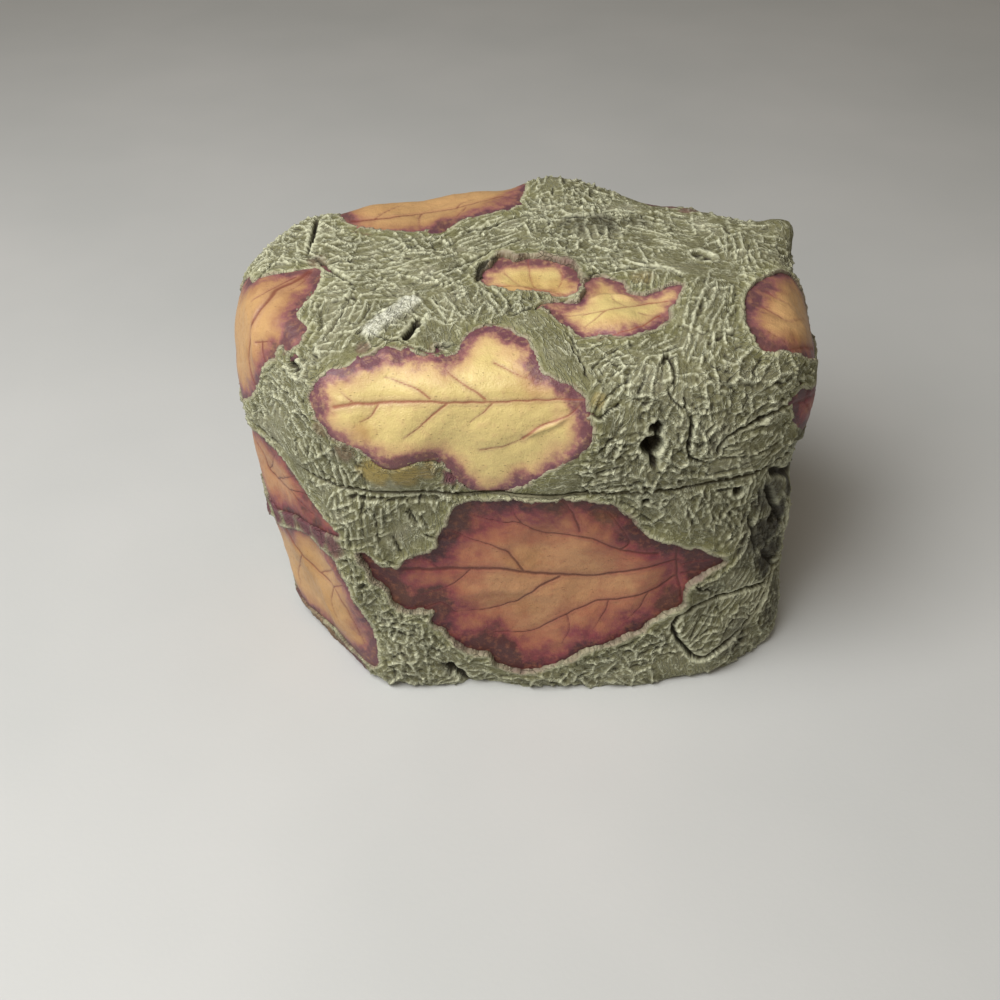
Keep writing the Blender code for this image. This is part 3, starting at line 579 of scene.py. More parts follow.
def sheet_seeds():
    """Every torn sheet's place, crease direction, outward direction, level and kind."""
    places, ways, kinds = [], [], []
    for kind, pins in SHEET_PINS_PX.items():
        starts = on_skin([pin[:2] for pin in pins])
        ends = on_skin([(u + du / 4, v + dv / 4) for u, v, du, dv in pins])
        places += list(starts)
        ways += list(ends - starts)
        kinds += [kind] * len(pins)
    dice = np.random.default_rng(21)
    everywhere = np.concatenate([BASE_GRID[4::3, ::3].reshape(-1, 3), LID_GRID[:100:3, ::3].reshape(-1, 3)])
    for spot in everywhere[dice.permutation(len(everywhere))]:
        if np.linalg.norm(np.array(places) - spot, axis=1).min() > SHEET_SPACING:
            places.append(spot)
            ways.append(dice.normal(size=3) + (0, 0, 0.8))
            kinds.append((COMBED, COMBED, CRUMPLED, SMOOTH)[dice.integers(4)])
    places, ways = np.array(places), np.array(ways)
    ways, normals = on_surface(places, ways)
    levels = dice.uniform(-1, 1, len(places)) * SHEET_LEVEL
    return places, ways, normals, levels, np.array(kinds)


def two_nearest(points, seeds):
    """Each point's nearest and next nearest seed, and its distance to both."""
    found = []
    for start in range(0, len(points), 30000):
        part = points[start : start + 30000]
        far = (part**2).sum(axis=1)[:, None] + (seeds**2).sum(axis=1) - 2 * part @ seeds.T
        pair = np.argpartition(far, 1, axis=1)[:, :2]
        pair_far = np.sqrt(np.maximum(0, np.take_along_axis(far, pair, axis=1)))
        turn = pair_far[:, 0] > pair_far[:, 1]
        pair[turn] = pair[turn, ::-1]
        pair_far[turn] = pair_far[turn, ::-1]
        found.append((pair, pair_far))
    pairs = np.concatenate([f[0] for f in found])
    fars = np.concatenate([f[1] for f in found])
    return pairs[:, 0], pairs[:, 1], fars[:, 0], fars[:, 1]


SEEDS = sheet_seeds()


def straight_creases(flat, size, seed):
    """The nearest of many straight creases: how far it is, its luck, and the hollow it borders."""
    size = np.array(size)
    scaled = flat / size + seed * 7.3
    home = np.floor(scaled).astype(np.int64)
    near = [np.full(len(flat), 99.0), np.full(len(flat), 99.0)]
    spots = [np.zeros_like(flat), np.zeros_like(flat)]
    names = [np.zeros(len(flat), np.int64), np.zeros(len(flat), np.int64)]
    for step in np.ndindex(3, 3):
        cell = home + step - 1
        mixed = cell @ HASH_STEPS[:2] + seed
        mixed = ((mixed ^ (mixed >> 13)) * 1274126177) & 0xFFFFFFFF
        jitter = np.stack([(mixed >> 8) & 1023, (mixed >> 20) & 1023], 1) / 1023
        spot = cell + 0.08 + 0.84 * jitter
        far = ((scaled - spot) ** 2).sum(axis=1)
        first = far < near[0]
        second = ~first & (far < near[1])
        for kept, value in ((near, far), (spots, spot), (names, mixed)):
            kept[1][first] = kept[0][first]
            kept[0][first] = value[first]
            kept[1][second] = value[second]
    across = spots[1] - spots[0]
    width = np.maximum(np.linalg.norm(across, axis=1), 1e-6)
    steep = np.linalg.norm(across / width[:, None] / size, axis=1)
    far = (near[1] - near[0]) / (2 * width) / steep
    luck = (((names[0] ^ names[1]) * 40503 >> 7) & 255) / 255
    return far, luck, np.sqrt(near[0])


def ridges(flat, size, seed, share, width):
    """Raised creases from 0 to 1, of which this share is there at all."""
    far, luck, _ = straight_creases(flat, size, seed)
    return bell(far, width) * (luck < share) * (0.45 + 0.55 * luck / share)


def sheet_creases(points, sheet):
    """The relief of each point on the sheet of this number, and its place in the sheet's own frame."""
    places, ways, normals, _, kinds = SEEDS
    away = points - places[sheet]
    along = (away * ways[sheet]).sum(axis=1)
    across = (away * np.cross(normals, ways)[sheet]).sum(axis=1)
    lift = (away * normals[sheet]).sum(axis=1)
    frame_place = np.stack([along, across, lift], 1) + sheet[:, None] * 7.7
    wobble = 0.16 * np.stack([noise(points, 2.3, s) for s in (57, 58)], 1)
    flat = frame_place[:, :2] + wobble
    turn = np.array([[0.45, 0.89], [-0.89, 0.45]])
    combed, crumpled = kinds[sheet].T
    lines = 0.55 * ridges(flat, (7.5, 1.5), 43, 0.65, 0.27)
    lines += 0.55 * ridges(flat @ turn, (6.5, 2.4), 44, 0.45, 0.27)
    lines -= 0.45 * ridges(flat, (8.0, 2.6), 49, 0.40, 0.30)
    _, _, hollow = straight_creases(flat, (5.2, 3.4), 45)
    folds = 0.42 * hollow + 0.62 * ridges(flat, (5.2, 3.4), 45, 0.8, 0.27)
    folds += 0.55 * ridges(flat @ turn, (3.4, 1.9), 46, 0.55, 0.26)
    folds -= 0.45 * ridges(flat, (3.9, 2.3), 47, 0.35, 0.28) + 0.28
    return combed * lines + crumpled * folds, frame_place, crumpled


def sheet_relief(points):
    """The combed and crumpled skin: its height, its place on its sheet, its kind, and the way to an edge."""
    places, _, _, levels, _ = SEEDS
    wander = np.stack([layered(points, 6.0, 3, s) for s in (31, 35, 39)], 1)
    mine, other, near, next_near = two_nearest(points + 1.9 * wander, places)
    edge = (next_near - near) / 2
    relief, comb, crumpled = sheet_creases(points, mine)
    beside, _, _ = sheet_creases(points, other)
    own = 0.5 + 0.5 * ease(edge, 0, 1.1)
    relief = relief * own + beside * (1 - own)
    pair = np.minimum(mine, other) * 977 + np.maximum(mine, other)
    torn = ((pair * 2654435761 >> 9) & 255) / 255 < TORN_SHARE
    torn = torn * (0.35 + 0.65 * ease(noise(points, 4.0, 50), -0.4, 0.3))
    step = levels[mine] - levels[other]
    blend = levels[mine] - step / 2 * np.exp(-edge / 0.8)
    lip = torn * 0.35 * bell(edge, 0.35)
    drop = torn * 0.70 * bell(edge, 0.32)
    height = np.where(step > 0, levels[mine] + lip, levels[mine] - drop)
    height = blend + torn * (height - blend)
    return height + relief + 0.16 * noise(points, 3.1, 59), comb, crumpled, edge


def line_marks(points, height):
    """Adds the gaps, cords, holes and tuft that the photograph shows, with painted shade for the deep gaps
    and holes.
    """
    frost, painted_gap_shade = np.zeros(len(points)), np.zeros(len(points))
    ragged = points + 0.25 * np.stack([noise(points, 1.6, s) for s in (61, 62, 63)], 1)
    marks = [(w, -d, run) for w, d, run in GAPS_PX] + list(CORDS_PX)
    for width, rise, run in marks:
        line = open_curve(on_skin(run), 6)
        low, high = line.min(axis=0) - 4, line.max(axis=0) + 4
        near = np.flatnonzero(((points > low) & (points < high)).all(axis=1))
        far, share = distance_to_line(ragged[near], line)
        ends = ease(share, 0, 0.12) * ease(share, 1, 0.88)
        torn_width = (0.36 * width + 0.08) * (0.85 + 0.45 * noise(points[near], 2.2, 64))
        bulk = bell(far, np.maximum(torn_width, 0.16)) * (0.3 + 0.7 * ends)
        shade = 1 - 0.5 * bell(far, width) * (rise < 0)
        height[near] = height[near] * shade + rise * bulk
        # Painted shade in the deepest gaps
        painted_gap_shade[near] = np.maximum(painted_gap_shade[near], ease(-rise * bulk, 0.35, 1.1))
    for width, depth, pixel in HOLES_PX:
        middle = on_skin([pixel])[0]
        far = np.linalg.norm(ragged - middle, axis=1)
        pit = ease(far, width / 2 + 0.35, width / 2 - 0.55)
        height -= depth * pit
        # Painted shade in the deep holes
        painted_gap_shade = np.maximum(painted_gap_shade, pit * (depth > 1.4))
        height += 0.25 * bell(far - width / 2 - 0.5, 0.45)
    far, share = distance_to_line(ragged, open_curve(on_skin(TUFT_PX), 6))
    frost += ease(far, TUFT_WIDTH / 2, TUFT_WIDTH / 5)
    height += TUFT_RISE * frost
    return height, frost, painted_gap_shade


def leaf_dips(part, points, normals, height):
    """Opens the skin over each leaf, with a torn lip, and says how near a leaf each point is."""
    nearness = np.full(len(points), 99.0)
    tear = 0.50 * noise(points, 2.8, 71) + 0.36 * noise(points, 1.2, 72) + 0.16 * noise(points, 0.7, 74)
    for node, bed in BEDS.items():
        near = bed.reach(points, normals, 6.0)
        if not len(near) or not node.startswith(part):
            continue
        sink, lip = LEAF_SINKS.get(node, (0.0, 0.28))
        far = bed.outside(bed.flat(points[near]), places=points[near])
        for reach, run in LEAF_FLAPS_PX.get(node, ()):
            lap, _ = distance_to_line(points[near], open_curve(on_skin(run), 6))
            far = np.maximum(far, reach - lap)
        ragged = far + tear[near]
        calm = 0.45 + 0.55 * ease(far, 0.2, 2.0)
        lift = lip * bell(ragged - 0.15, 0.8 + lip) * (0.65 + 0.5 * noise(points[near], 4.0, 73))
        skin = height[near] * calm + lift
        height[near] = skin + (LEAF_BED - sink - skin) * ease(ragged, 0.05, -0.45)
        nearness[near] = np.minimum(nearness[near], ragged)
    return height, nearness


LEAF_BED = -1.9

# How deep below the skin a leaf lies, and how high the skin is torn up round it
LEAF_SINKS = {
    "base_front_leaf": (0.6, 0.95), "base_left_leaf": (0.3, 0.6), "base_low_leaf": (0.3, 0.6),
    "lid_top_leaf": (0.9, 0.9), "lid_fold_leaf": (0.2, 0.4), "lid_left_leaf": (0.1, 0.4),
    "lid_right_leaf": (0.3, 0.6),
}

# Painted shade on the clay of the shaded right side, at the back and in a few dark hollows: place, width and
# how dark
PAINTED_SHADE_PATCHES_PX = (
    (768, 495, 10.0, 0.8), (764, 530, 12.0, 0.95), (768, 556, 11.0, 0.95), (774, 588, 9.0, 0.55),
    (802, 428, 8.0, 0.5), (790, 452, 8.0, 0.7), (776, 516, 9.0, 1.0), (752, 540, 8.0, 0.6),
    (658, 424, 3.0, 0.4), (482, 274, 3.5, 0.5), (752, 515, 7.0, 0.35), (744, 560, 7.0, 0.4),
    (786, 478, 9.0, 0.9),
    (700, 600, 11.0, 0.35), (735, 635, 11.0, 0.45), (770, 610, 9.0, 0.6), (602, 222, 8.0, 0.6),
    (575, 222, 7.0, 0.5),
    (635, 222, 7.0, 0.5), (800, 460, 7.0, 0.7), (366, 600, 4.0, 0.3), (398, 598, 3.0, 0.6),
    (446, 668, 4.0, 0.6),
)

# Skin that laps over a leaf: how far it reaches each way, and its run
LEAF_FLAPS_PX = {
    "lid_left_leaf": (
        (2.4, ((306, 352), (291, 366), (292, 388), (304, 412))), (1.2, ((281, 350), (277, 366))),
    ),
    "lid_back_leaf": ((1.6, ((345, 228), (400, 236), (440, 234))),),
}

# Clay stained by the leaf beside it: place, width, how amber and how plum it is
SKIN_STAINS_PX = (
    (375, 472, 7.0, 0.9, 0.0), (405, 474, 7.0, 0.8, 0.1), (428, 470, 4.0, 0.5, 0.2),
    (450, 477, 3.6, 0.0, 1.0),
    (300, 278, 5.0, 0.0, 0.6),  (318, 262, 5.0, 0.0, 0.35), (362, 350, 3.0, 0.0, 0.5),
    (436, 352, 4.0, 0.0, 0.3),
    (264, 500, 9.0, 0.0, 1.0), (275, 507, 9.0, 0.0, 1.0), (290, 514, 8.0, 0.0, 1.0),
    (305, 522, 8.0, 0.0, 1.0),
    (320, 532, 7.0, 0.0, 1.0), (333, 543, 6.0, 0.0, 0.9), (294, 592, 7.0, 0.0, 0.9),
    (304, 609, 7.0, 0.2, 0.8),
    (317, 623, 7.0, 0.3, 0.8), (331, 637, 7.0, 0.3, 0.8), (345, 650, 7.0, 0.2, 0.9),
    (359, 663, 7.0, 0.0, 1.0),
    (650, 203, 5.0, 0.0, 0.9), (668, 208, 5.0, 0.0, 0.8), (688, 212, 4.0, 0.0, 0.6),
    (598, 400, 3.5, 0.5, 0.0), (640, 279, 5.0, 0.3, 0.1), (345, 452, 5.0, 0.1, 0.45),
    (322, 430, 4.0, 0.1, 0.4),
)


def smoothed(grid, values, reach):
    """Values on a grid averaged over about this many millimetres each way."""
    spacing = np.linalg.norm(np.roll(grid, -1, axis=1) - grid, axis=2).mean(axis=1)
    waves = np.arange(values.shape[1] // 2 + 1)
    spread = reach / np.maximum(spacing, 0.02)
    keep = np.exp(-((2 * math.pi * waves[None, :] * spread[:, None] / values.shape[1]) ** 2) / 2)
    around = np.fft.irfft(np.fft.rfft(values, axis=1) * keep, n=values.shape[1], axis=1)
    reach_rows = int(3 * reach / ROW_STEP)
    weights = bell(np.arange(-reach_rows, reach_rows + 1) * ROW_STEP, reach * math.sqrt(2))
    padded = np.pad(around, ((reach_rows, reach_rows), (0, 0)), mode="edge")
    total = sum(w * padded[k : k + len(values)] for k, w in enumerate(weights))
    return total / weights.sum()


# The skin over the smooth body, its cut at the seam, and how wide its creases and hollows are
SKIN_RISE, SKIN_HIGHEST = 0.22, 1.15
SEAM_NOTCH, OPEN_SEAM_NOTCH = 0.35, 0.5
CREASE_REACH, HOLLOW_REACH = 0.55, 1.7


def patch_amount(points, pixel, width):
    """1 inside a ragged patch of this width round a place, and 0 well outside it."""
    far = np.linalg.norm(points - on_skin([pixel])[0], axis=1) + 0.8 * noise(points, 2.0, 82)
    return ease(far, width / 2 * 1.2, width / 2 * 0.5)


def crust(part, grid):
    """An outer grid pushed out into crinkled skin, with what its finish reads at each point."""
    normals = grid_normals(grid)
    normals[-1] = (0, 0, 1) if part == "lid" else normals[-1]
    points, outward = grid.reshape(-1, 3), normals.reshape(-1, 3)
    height, comb, crumpled, edge = sheet_relief(points)
    amber, plum, painted_shade_patches = np.zeros((3, len(points)))
    for u, v, width, how_amber, how_plum in SKIN_STAINS_PX:
        amount = patch_amount(points, (u, v), width)
        amber, plum = np.maximum(amber, amount * how_amber), np.maximum(plum, amount * how_plum)
    # Painted shade, laid as dark patches on the shaded side and in hollows
    for u, v, width, how_dark in PAINTED_SHADE_PATCHES_PX:
        painted_shade_patches = np.maximum(painted_shade_patches, patch_amount(points, (u, v), width) * how_dark)
    height = height * (1 - 0.6 * np.maximum(amber, plum))
    height, frost, painted_gap_shade = line_marks(points, height + SKIN_RISE)
    height, nearness = leaf_dips(part, points, outward, height)
    from_seam = np.abs(points[:, 2] - BASE_HEIGHT - SEAM_GAP / 2)
    notch = SEAM_NOTCH * (1 + 0.6 * noise(points, 3.0, 81)) * bell(from_seam, 0.45)
    open_far, _ = distance_to_line(points, open_curve(on_skin(OPEN_SEAM_PX), 6))
    notch += OPEN_SEAM_NOTCH * ease(open_far, 0.9, 0.3)
    height = np.minimum(height - notch, SKIN_HIGHEST)
    # Painted shade in the gaps, faded where a leaf lies, and along the seam between lid and base
    painted_gap_shade = np.maximum(painted_gap_shade * ease(nearness, -0.2, 0.2), bell(from_seam, 0.30))
    high_grid = height.reshape(grid.shape[:2])
    fine = high_grid - smoothed(grid, high_grid, CREASE_REACH)
    broad = high_grid - smoothed(grid, high_grid, HOLLOW_REACH)
    pushed = points + outward * height[:, None]
    pushed[:, 2] = np.maximum(pushed[:, 2], 0)
    # Painted shade: darker in fine creases, broad hollows, gaps, holes, along the seam and in the shade
    # patches
    painted_shade_amount = ease(fine.ravel(), -0.02, -0.34) * 0.75 + ease(broad.ravel(), -0.15, -1.1) + painted_gap_shade + painted_shade_patches
    facts = {
        "comb": comb,
        # crest is pale on the crests, partly dry-brush and partly painted highlight; hollow is the painted
        # shade
        "crest": ease(fine.ravel(), 0.03, 0.24),
        "hollow": np.clip(painted_shade_amount, 0, 1),
        "near_leaf": nearness,
        "frost": frost,
        "crumple": crumpled,
        "sheet_edge": edge,
        "amber": amber,
        "plum": plum,
    }
    return pushed.reshape(grid.shape), facts


# Making meshes

WALL_STRIPS = 3
PIE_RADIUS, PIE_STRETCH = 0.235, 1.35


def mesh_object(name, points, faces, smooth=True):
    """A mesh object from millimetre points and faces of any size."""
    mesh = bpy.data.meshes.new(name)
    mesh.from_pydata((np.asarray(points) * METRES).tolist(), [], faces)
    mesh.update()
    if smooth:
        mesh.shade_smooth()
    thing = bpy.data.objects.new(name, mesh)
    bpy.context.scene.collection.objects.link(thing)
    return thing


def tell(thing, facts):
    """Stores numbers at a mesh's points for its materials to read."""
    for name, values in facts.items():
        values = np.asarray(values, np.float32)
        if values.ndim == 1:
            thing.data.attributes.new(name, "FLOAT", "POINT").data.foreach_set("value", values)
        else:
            place = thing.data.attributes.new(name, "FLOAT_VECTOR", "POINT")
            place.data.foreach_set("vector", values.ravel())


def band_corners(row, low_step, high_step):
    """The (ring, column) corners of the faces between two rings, one of which may be coarser."""
    step = max(low_step, high_step)
    start = np.arange(0, AROUND, step)
    end, middle = start + step, start + step // 2
    low, high = row, row + 1
    if low_step == high_step:
        shapes = [((low, start), (low, end), (high, end), (high, start))]
    elif low_step < high_step:
        shapes = [
            ((low, start), (low, middle), (high, start)),
            ((low, middle), (high, end), (high, start)),
            ((low, middle), (low, end), (high, end)),
        ]
    else:
        shapes = [
            ((low, start), (high, middle), (high, start)),
            ((low, start), (low, end), (high, middle)),
            ((low, end), (high, end), (high, middle)),
        ]
    for shape in shapes:
        yield np.stack([np.stack([np.full(len(c), r), c], 1) for r, c in shape], 1)


def step_for(ring, finest):
    """How many columns to skip so that a ring's points lie about this far apart."""
    spacing = np.linalg.norm(np.roll(ring, -1, axis=0) - ring, axis=1).mean()
    step = 1
    while spacing * step * 2 < finest * 1.25 and step < 32:
        step *= 2
    return step


def ring_solid(name, rings, steps, outer_rows):
    """A closed solid through rings of points, closed flat at both ends."""
    counts = [AROUND // s for s in steps]
    starts = np.concatenate([[0], np.cumsum(counts)])
    points = np.concatenate([ring[::s] for ring, s in zip(rings, steps)])
    corner_sets = []
    for row in range(len(rings) - 1):
        corner_sets += list(band_corners(row, steps[row], steps[row + 1]))
    faces, places = [], []
    step_of = np.array(steps)
    for corners in corner_sets:
        rows, columns = corners[..., 0], corners[..., 1]
        numbers = starts[rows] + (columns % AROUND) // step_of[rows]
        faces += numbers.tolist()
        places.append((rows, columns))
    last = starts[-2] + np.arange(counts[-1])
    faces += [np.arange(counts[0])[::-1].tolist(), last.tolist()]
    thing = mesh_object(name, points, faces)
    lay_out(thing, rings, places, counts, outer_rows)
    return thing


def lay_out(thing, rings, places, counts, outer_rows):
    """The bake's map: the outer wall in strips, and the rest pressed flat like a pie crust."""
    first, last = outer_rows
    lengths = np.array([0.0] + [np.linalg.norm(b - a, axis=1).mean() for a, b in zip(rings, rings[1:])])
    run = np.cumsum(lengths)
    under = run[:first + 1] / max(run[first], 1e-6) if first else np.array([0.0])
    over = (run[-1] - run[last:]) / (run[-1] - run[last])
    flat = PLAN / (WIDTH / 2)
    strips = WALL_STRIPS
    wall = 0.5 / strips
    found = []
    for rows, columns in places:
        low = rows.min(axis=1)
        is_under, is_over = low < first, low >= last
        start = columns.min(axis=1)
        strip = np.minimum(start * strips // AROUND, strips - 1)
        u = (columns - strip[:, None] * (AROUND / strips)) / (AROUND / strips)
        wall_rows = np.clip((run[rows] - run[first]) / (run[last] - run[first]), 0, 1)
        v = (strip[:, None] + 0.02 + 0.96 * wall_rows) * wall
        plan = flat[columns % AROUND]
        share_under = np.interp(rows, np.arange(len(under)), under)
        share_over = np.interp(rows, last + np.arange(len(over)), over)
        radius = np.where(is_under[:, None], share_under, share_over)[..., None]
        pie = plan * radius * PIE_RADIUS + np.where(is_under, 0.25, 0.75)[:, None, None] * (1, 0)
        pie = np.stack([pie[..., 0], 0.75 + pie[..., 1] * PIE_STRETCH], -1)
        wall_uv = np.stack([u * 0.998 + 0.001, v], -1)
        flat_face = (is_under | is_over)[:, None, None]
        found.append(np.where(flat_face, pie, wall_uv).reshape(-1, 2))
    cap_a = flat[:: AROUND // counts[0]][::-1] * under[0] * PIE_RADIUS
    cap_b = flat[:: AROUND // counts[-1]] * over[-1] * PIE_RADIUS
    found.append(cap_a * (1, PIE_STRETCH) + (0.25, 0.75))
    found.append(cap_b * (1, PIE_STRETCH) + (0.75, 0.75))
    layer = thing.data.uv_layers.new(name="OFBake")
    layer.uv.foreach_set("vector", np.concatenate(found).astype(np.float32).ravel())


# Rings inside the box: places across the rims, and the roundings of the well and the lid's hollow
BASE_RIM_INSET, LID_RIM_INSET = 2.6, 2.4
WELL_ROUND_UP, WELL_ROUND_IN, LID_SHOULDER_IN = 1.2, 1.4, 2.2
THUMB_DEPTH = 0.5


def inset_ring(inset, z, scale=1.0, shift=0.0):
    """A level ring this far inside the outline."""
    inside = (PLAN - PLAN_OUTWARD * inset) * scale + np.array([shift * WIDTH / 2, 0])
    return np.column_stack([inside, np.full(AROUND, z)])


def between(first, last, spacing):
    """Rings from just after one ring up to and including another."""
    far = np.linalg.norm(last - first, axis=1).max()
    count = max(1, round(far / spacing))
    return [first + (last - first) * (k + 1) / count for k in range(count)]


def thumbed(rings, depth, seed):
    """Inner rings with the shallow unevenness of clay pressed by a thumb, the ends kept."""
    middle = np.mean([r.mean(axis=0) for r in rings], axis=0)
    found = []
    for k, ring in enumerate(rings):
        share = min(k, len(rings) - 1 - k) / len(rings) * 2
        away = unit((ring - middle) * (1, 1, 0))
        wave = layered(ring, 14.0, 2, seed) * depth * min(1.0, share * 3)
        found.append(ring - away * np.abs(wave)[:, None])
    return found


def make_base_skin():
    """The base's shell: crinkled outside, plain rim, rebate, thumbed well and flat underside."""
    outside, facts = crust("base", BASE_GRID)
    foot = outside[0] * (1, 1, 0)
    centre = foot.mean(axis=0)
    underside = [centre + (foot - centre) * share for share in (0.04, 0.2, 0.4, 0.6, 0.78, 0.88, 0.94)]
    _, wide, _, shift, _ = BASE_SECTION_SHARES[0]
    ledge = BASE_HEIGHT - COLLAR_SEAT_DEPTH
    rim = inset_ring(REBATE_INSET, BASE_HEIGHT)
    seat = inset_ring(REBATE_INSET, ledge)
    lip = inset_ring(WALL, ledge)
    foot_of_well = inset_ring(WALL, FLOOR_THICKNESS + WELL_ROUND_UP, wide, shift)
    floor = inset_ring(WALL + WELL_ROUND_IN, FLOOR_THICKNESS, wide, shift)
    floor_centre = floor.mean(axis=0)
    inside = [inset_ring(BASE_RIM_INSET, BASE_HEIGHT), rim]
    inside += between(rim, seat, 3.4)
    inside += between(seat, lip, 1.3)
    inside += thumbed([lip] + between(lip, foot_of_well, 1.6), THUMB_DEPTH, 91)[1:]
    inside += between(foot_of_well, floor, 1.0)
    inside += [
        floor_centre + (floor - floor_centre) * share - (0, 0, 0.25) * np.array([1 - share])
        for share in (0.97, 0.9, 0.8, 0.65, 0.5, 0.35, 0.2, 0.06)
    ]
    rings = underside + list(outside) + inside
    steps = [32, 16, 8, 8, 4, 4, 2] + [1] * len(outside) + [2] + [4] * (len(inside) - 5) + [8, 8, 16, 32]
    first, last = len(underside), len(underside) + len(outside) - 1
    thing = ring_solid("base_clay_skin", rings, steps, (first, last))
    spread_facts(thing, steps, facts, first, len(outside))
    return thing


def make_lid_skin():
    """The lid's shell: crinkled outside, plain rim, straight mouth and a hollow underside."""
    outside, facts = crust("lid", LID_GRID)
    straight = BASE_HEIGHT + LID_STRAIGHT
    ceiling = BASE_HEIGHT + LID_HEIGHT - LID_TOP_THICKNESS
    bottom = BASE_HEIGHT + SEAM_GAP
    mouth_low = inset_ring(LID_MOUTH_INSET, bottom)
    mouth_high = inset_ring(LID_MOUTH_INSET, straight)
    shoulder = inset_ring(WALL + LID_SHOULDER_IN, (straight + ceiling) / 2)
    top = inset_ring(WALL * 2, ceiling)
    centre = top.mean(axis=0)
    hollow = [centre + (top - centre) * share for share in (0.05, 0.2, 0.35, 0.5, 0.65, 0.8, 0.92)]
    walls = thumbed([top] + between(top, shoulder, 1.6) + between(shoulder, mouth_high, 1.6), THUMB_DEPTH, 95)
    inside = hollow + walls + between(mouth_high, mouth_low, 2.2) + [inset_ring(LID_RIM_INSET, bottom)]
    rings = inside + list(outside)
    steps = [32, 16, 8, 8, 8] + [4] * (len(inside) - 6) + [2]
    wanted = [step_for(ring, ROW_STEP) for ring in outside]
    for row in range(1, len(wanted)):
        wanted[row] = min(max(wanted[row], wanted[row - 1]), wanted[row - 1] * 2)
    steps += wanted
    first = len(inside)
    turn = int(np.argmax(LID_GRID[:, 0, 2] > BASE_HEIGHT + 0.80 * LID_HEIGHT))
    thing = ring_solid("lid_clay_skin", rings, steps, (first, first + turn))
    spread_facts(thing, steps, facts, first, len(outside))
    return thing


def spread_facts(thing, steps, facts, first, outer_count):
    """Stores the outer surface's facts at its points, and gives every other face the inner clay."""
    sizes = [AROUND // s for s in steps]
    total = sum(sizes)
    starts = np.concatenate([[0], np.cumsum(sizes)]).astype(int)
    stored = {}
    for name, values in facts.items():
        wide = values.reshape(outer_count, AROUND, -1)
        full = np.zeros((total, wide.shape[2]))
        full[:] = 99.0 if name in ("near_leaf", "sheet_edge") else 0.0
        for k in range(outer_count):
            row = first + k
            full[starts[row] : starts[row + 1]] = wide[k, :: steps[row]]
        stored[name] = full[:, 0] if wide.shape[2] == 1 else full
    tell(thing, stored)
    skin_start, skin_end = starts[first], starts[first + outer_count]
    corner = np.empty(len(thing.data.loops), np.int32)
    thing.data.loops.foreach_get("vertex_index", corner)
    face_start = np.empty(len(thing.data.polygons), np.int32)
    thing.data.polygons.foreach_get("loop_start", face_start)
    on_outside = np.minimum.reduceat((corner >= skin_start) & (corner < skin_end), face_start)
    thing.data.polygons.foreach_set("material_index", (~on_outside).astype(np.int32))


# Veins drawn over the photograph: half width in millimetres at the start and end, and the run
YELLOW_VEINS_PX = (
    (0.30, 0.10, ((334, 407), (350, 404), (368, 404), (383, 402.5), (403, 402), (432, 402), (446, 402.5),
                  (482, 402), (507, 401.5), (538, 400), (562, 399), (584, 400))),
    (0.16, 0.06, ((430, 399), (416, 389), (397, 381), (385, 377))),
    (0.18, 0.06, ((486, 399), (469, 388), (453, 377), (445, 369))),
    (0.18, 0.06, ((446, 404), (432, 416), (420, 427), (403, 439))),
    (0.14, 0.05, ((378, 405), (370, 416), (360, 422))),
    (0.12, 0.04, ((492, 404), (482, 413), (469, 422))),
    (0.12, 0.04, ((494, 362), (519, 375), (538, 381))),
    (0.12, 0.04, ((480, 450), (507, 445), (523, 438))),
    (0.12, 0.04, ((352, 402), (346, 397), (341, 392))),
    (0.20, 0.08, ((523, 438), (544, 424), (567, 416), (580, 406))),
)
RED_VEINS_PX = (
    (0.34, 0.16, ((402, 570), (428, 571), (468, 570), (500, 571), (532, 574), (561, 576.5), (588, 577.5),
                  (620, 574), (647, 569), (679, 561))),
    (0.20, 0.08, ((579, 533), (576, 521), (569, 509), (560, 500))),
    (0.22, 0.08, ((659, 556), (633, 553), (617, 550), (593, 541), (569, 537), (543, 535), (521, 525.5),
                  (500, 524), (471, 517))),
    (0.20, 0.08, ((525, 573), (516, 562), (505, 552), (489, 545), (468, 538), (451, 532))),
    (0.14, 0.05, ((521, 525), (515, 517), (512, 510))),
    (0.18, 0.06, ((622, 550), (629, 546), (629, 540), (620, 526), (609, 514), (597, 512))),
    (0.20, 0.08, ((560, 579), (543, 586), (527, 596), (511, 604.5), (489, 610), (455, 613.5))),
    (0.22, 0.08, ((676, 577), (660, 588), (644, 595), (623, 600), (599, 601.5), (583, 608), (561, 618),
                  (545, 626), (527, 633), (487, 632.5))),
    (0.14, 0.06, ((455, 613), (441, 604), (420, 610), (401, 608))),
    (0.12, 0.05, ((609, 602), (602, 618), (593, 632))),
    (0.12, 0.05, ((567, 616), (569, 630), (561, 645))),
    (0.12, 0.05, ((649, 594), (640, 608), (628, 621))),
    (0.12, 0.05, ((470, 571), (455, 584), (437, 592), (420, 596))),
    (0.12, 0.05, ((440, 571), (428, 562), (418, 560))),
    (0.20, 0.14, ((679, 548), (677, 565), (680, 585), (683, 603))),
    (0.10, 0.04, ((682, 566), (700, 562), (716, 561))),
    (0.10, 0.04, ((682, 574), (698, 573), (714, 569))),
)
BASE_LEFT_VEINS_PX = (
    (0.20, 0.08, ((252, 432), (262, 452), (269, 469), (277, 478), (289, 490), (298, 501), (312, 516))),
    (0.12, 0.05, ((277, 478.5), (292, 477), (306, 477.6))),
    (0.12, 0.05, ((269, 469), (272, 463), (274, 455))),
    (0.12, 0.05, ((289, 490), (303, 494), (314, 503))),
)
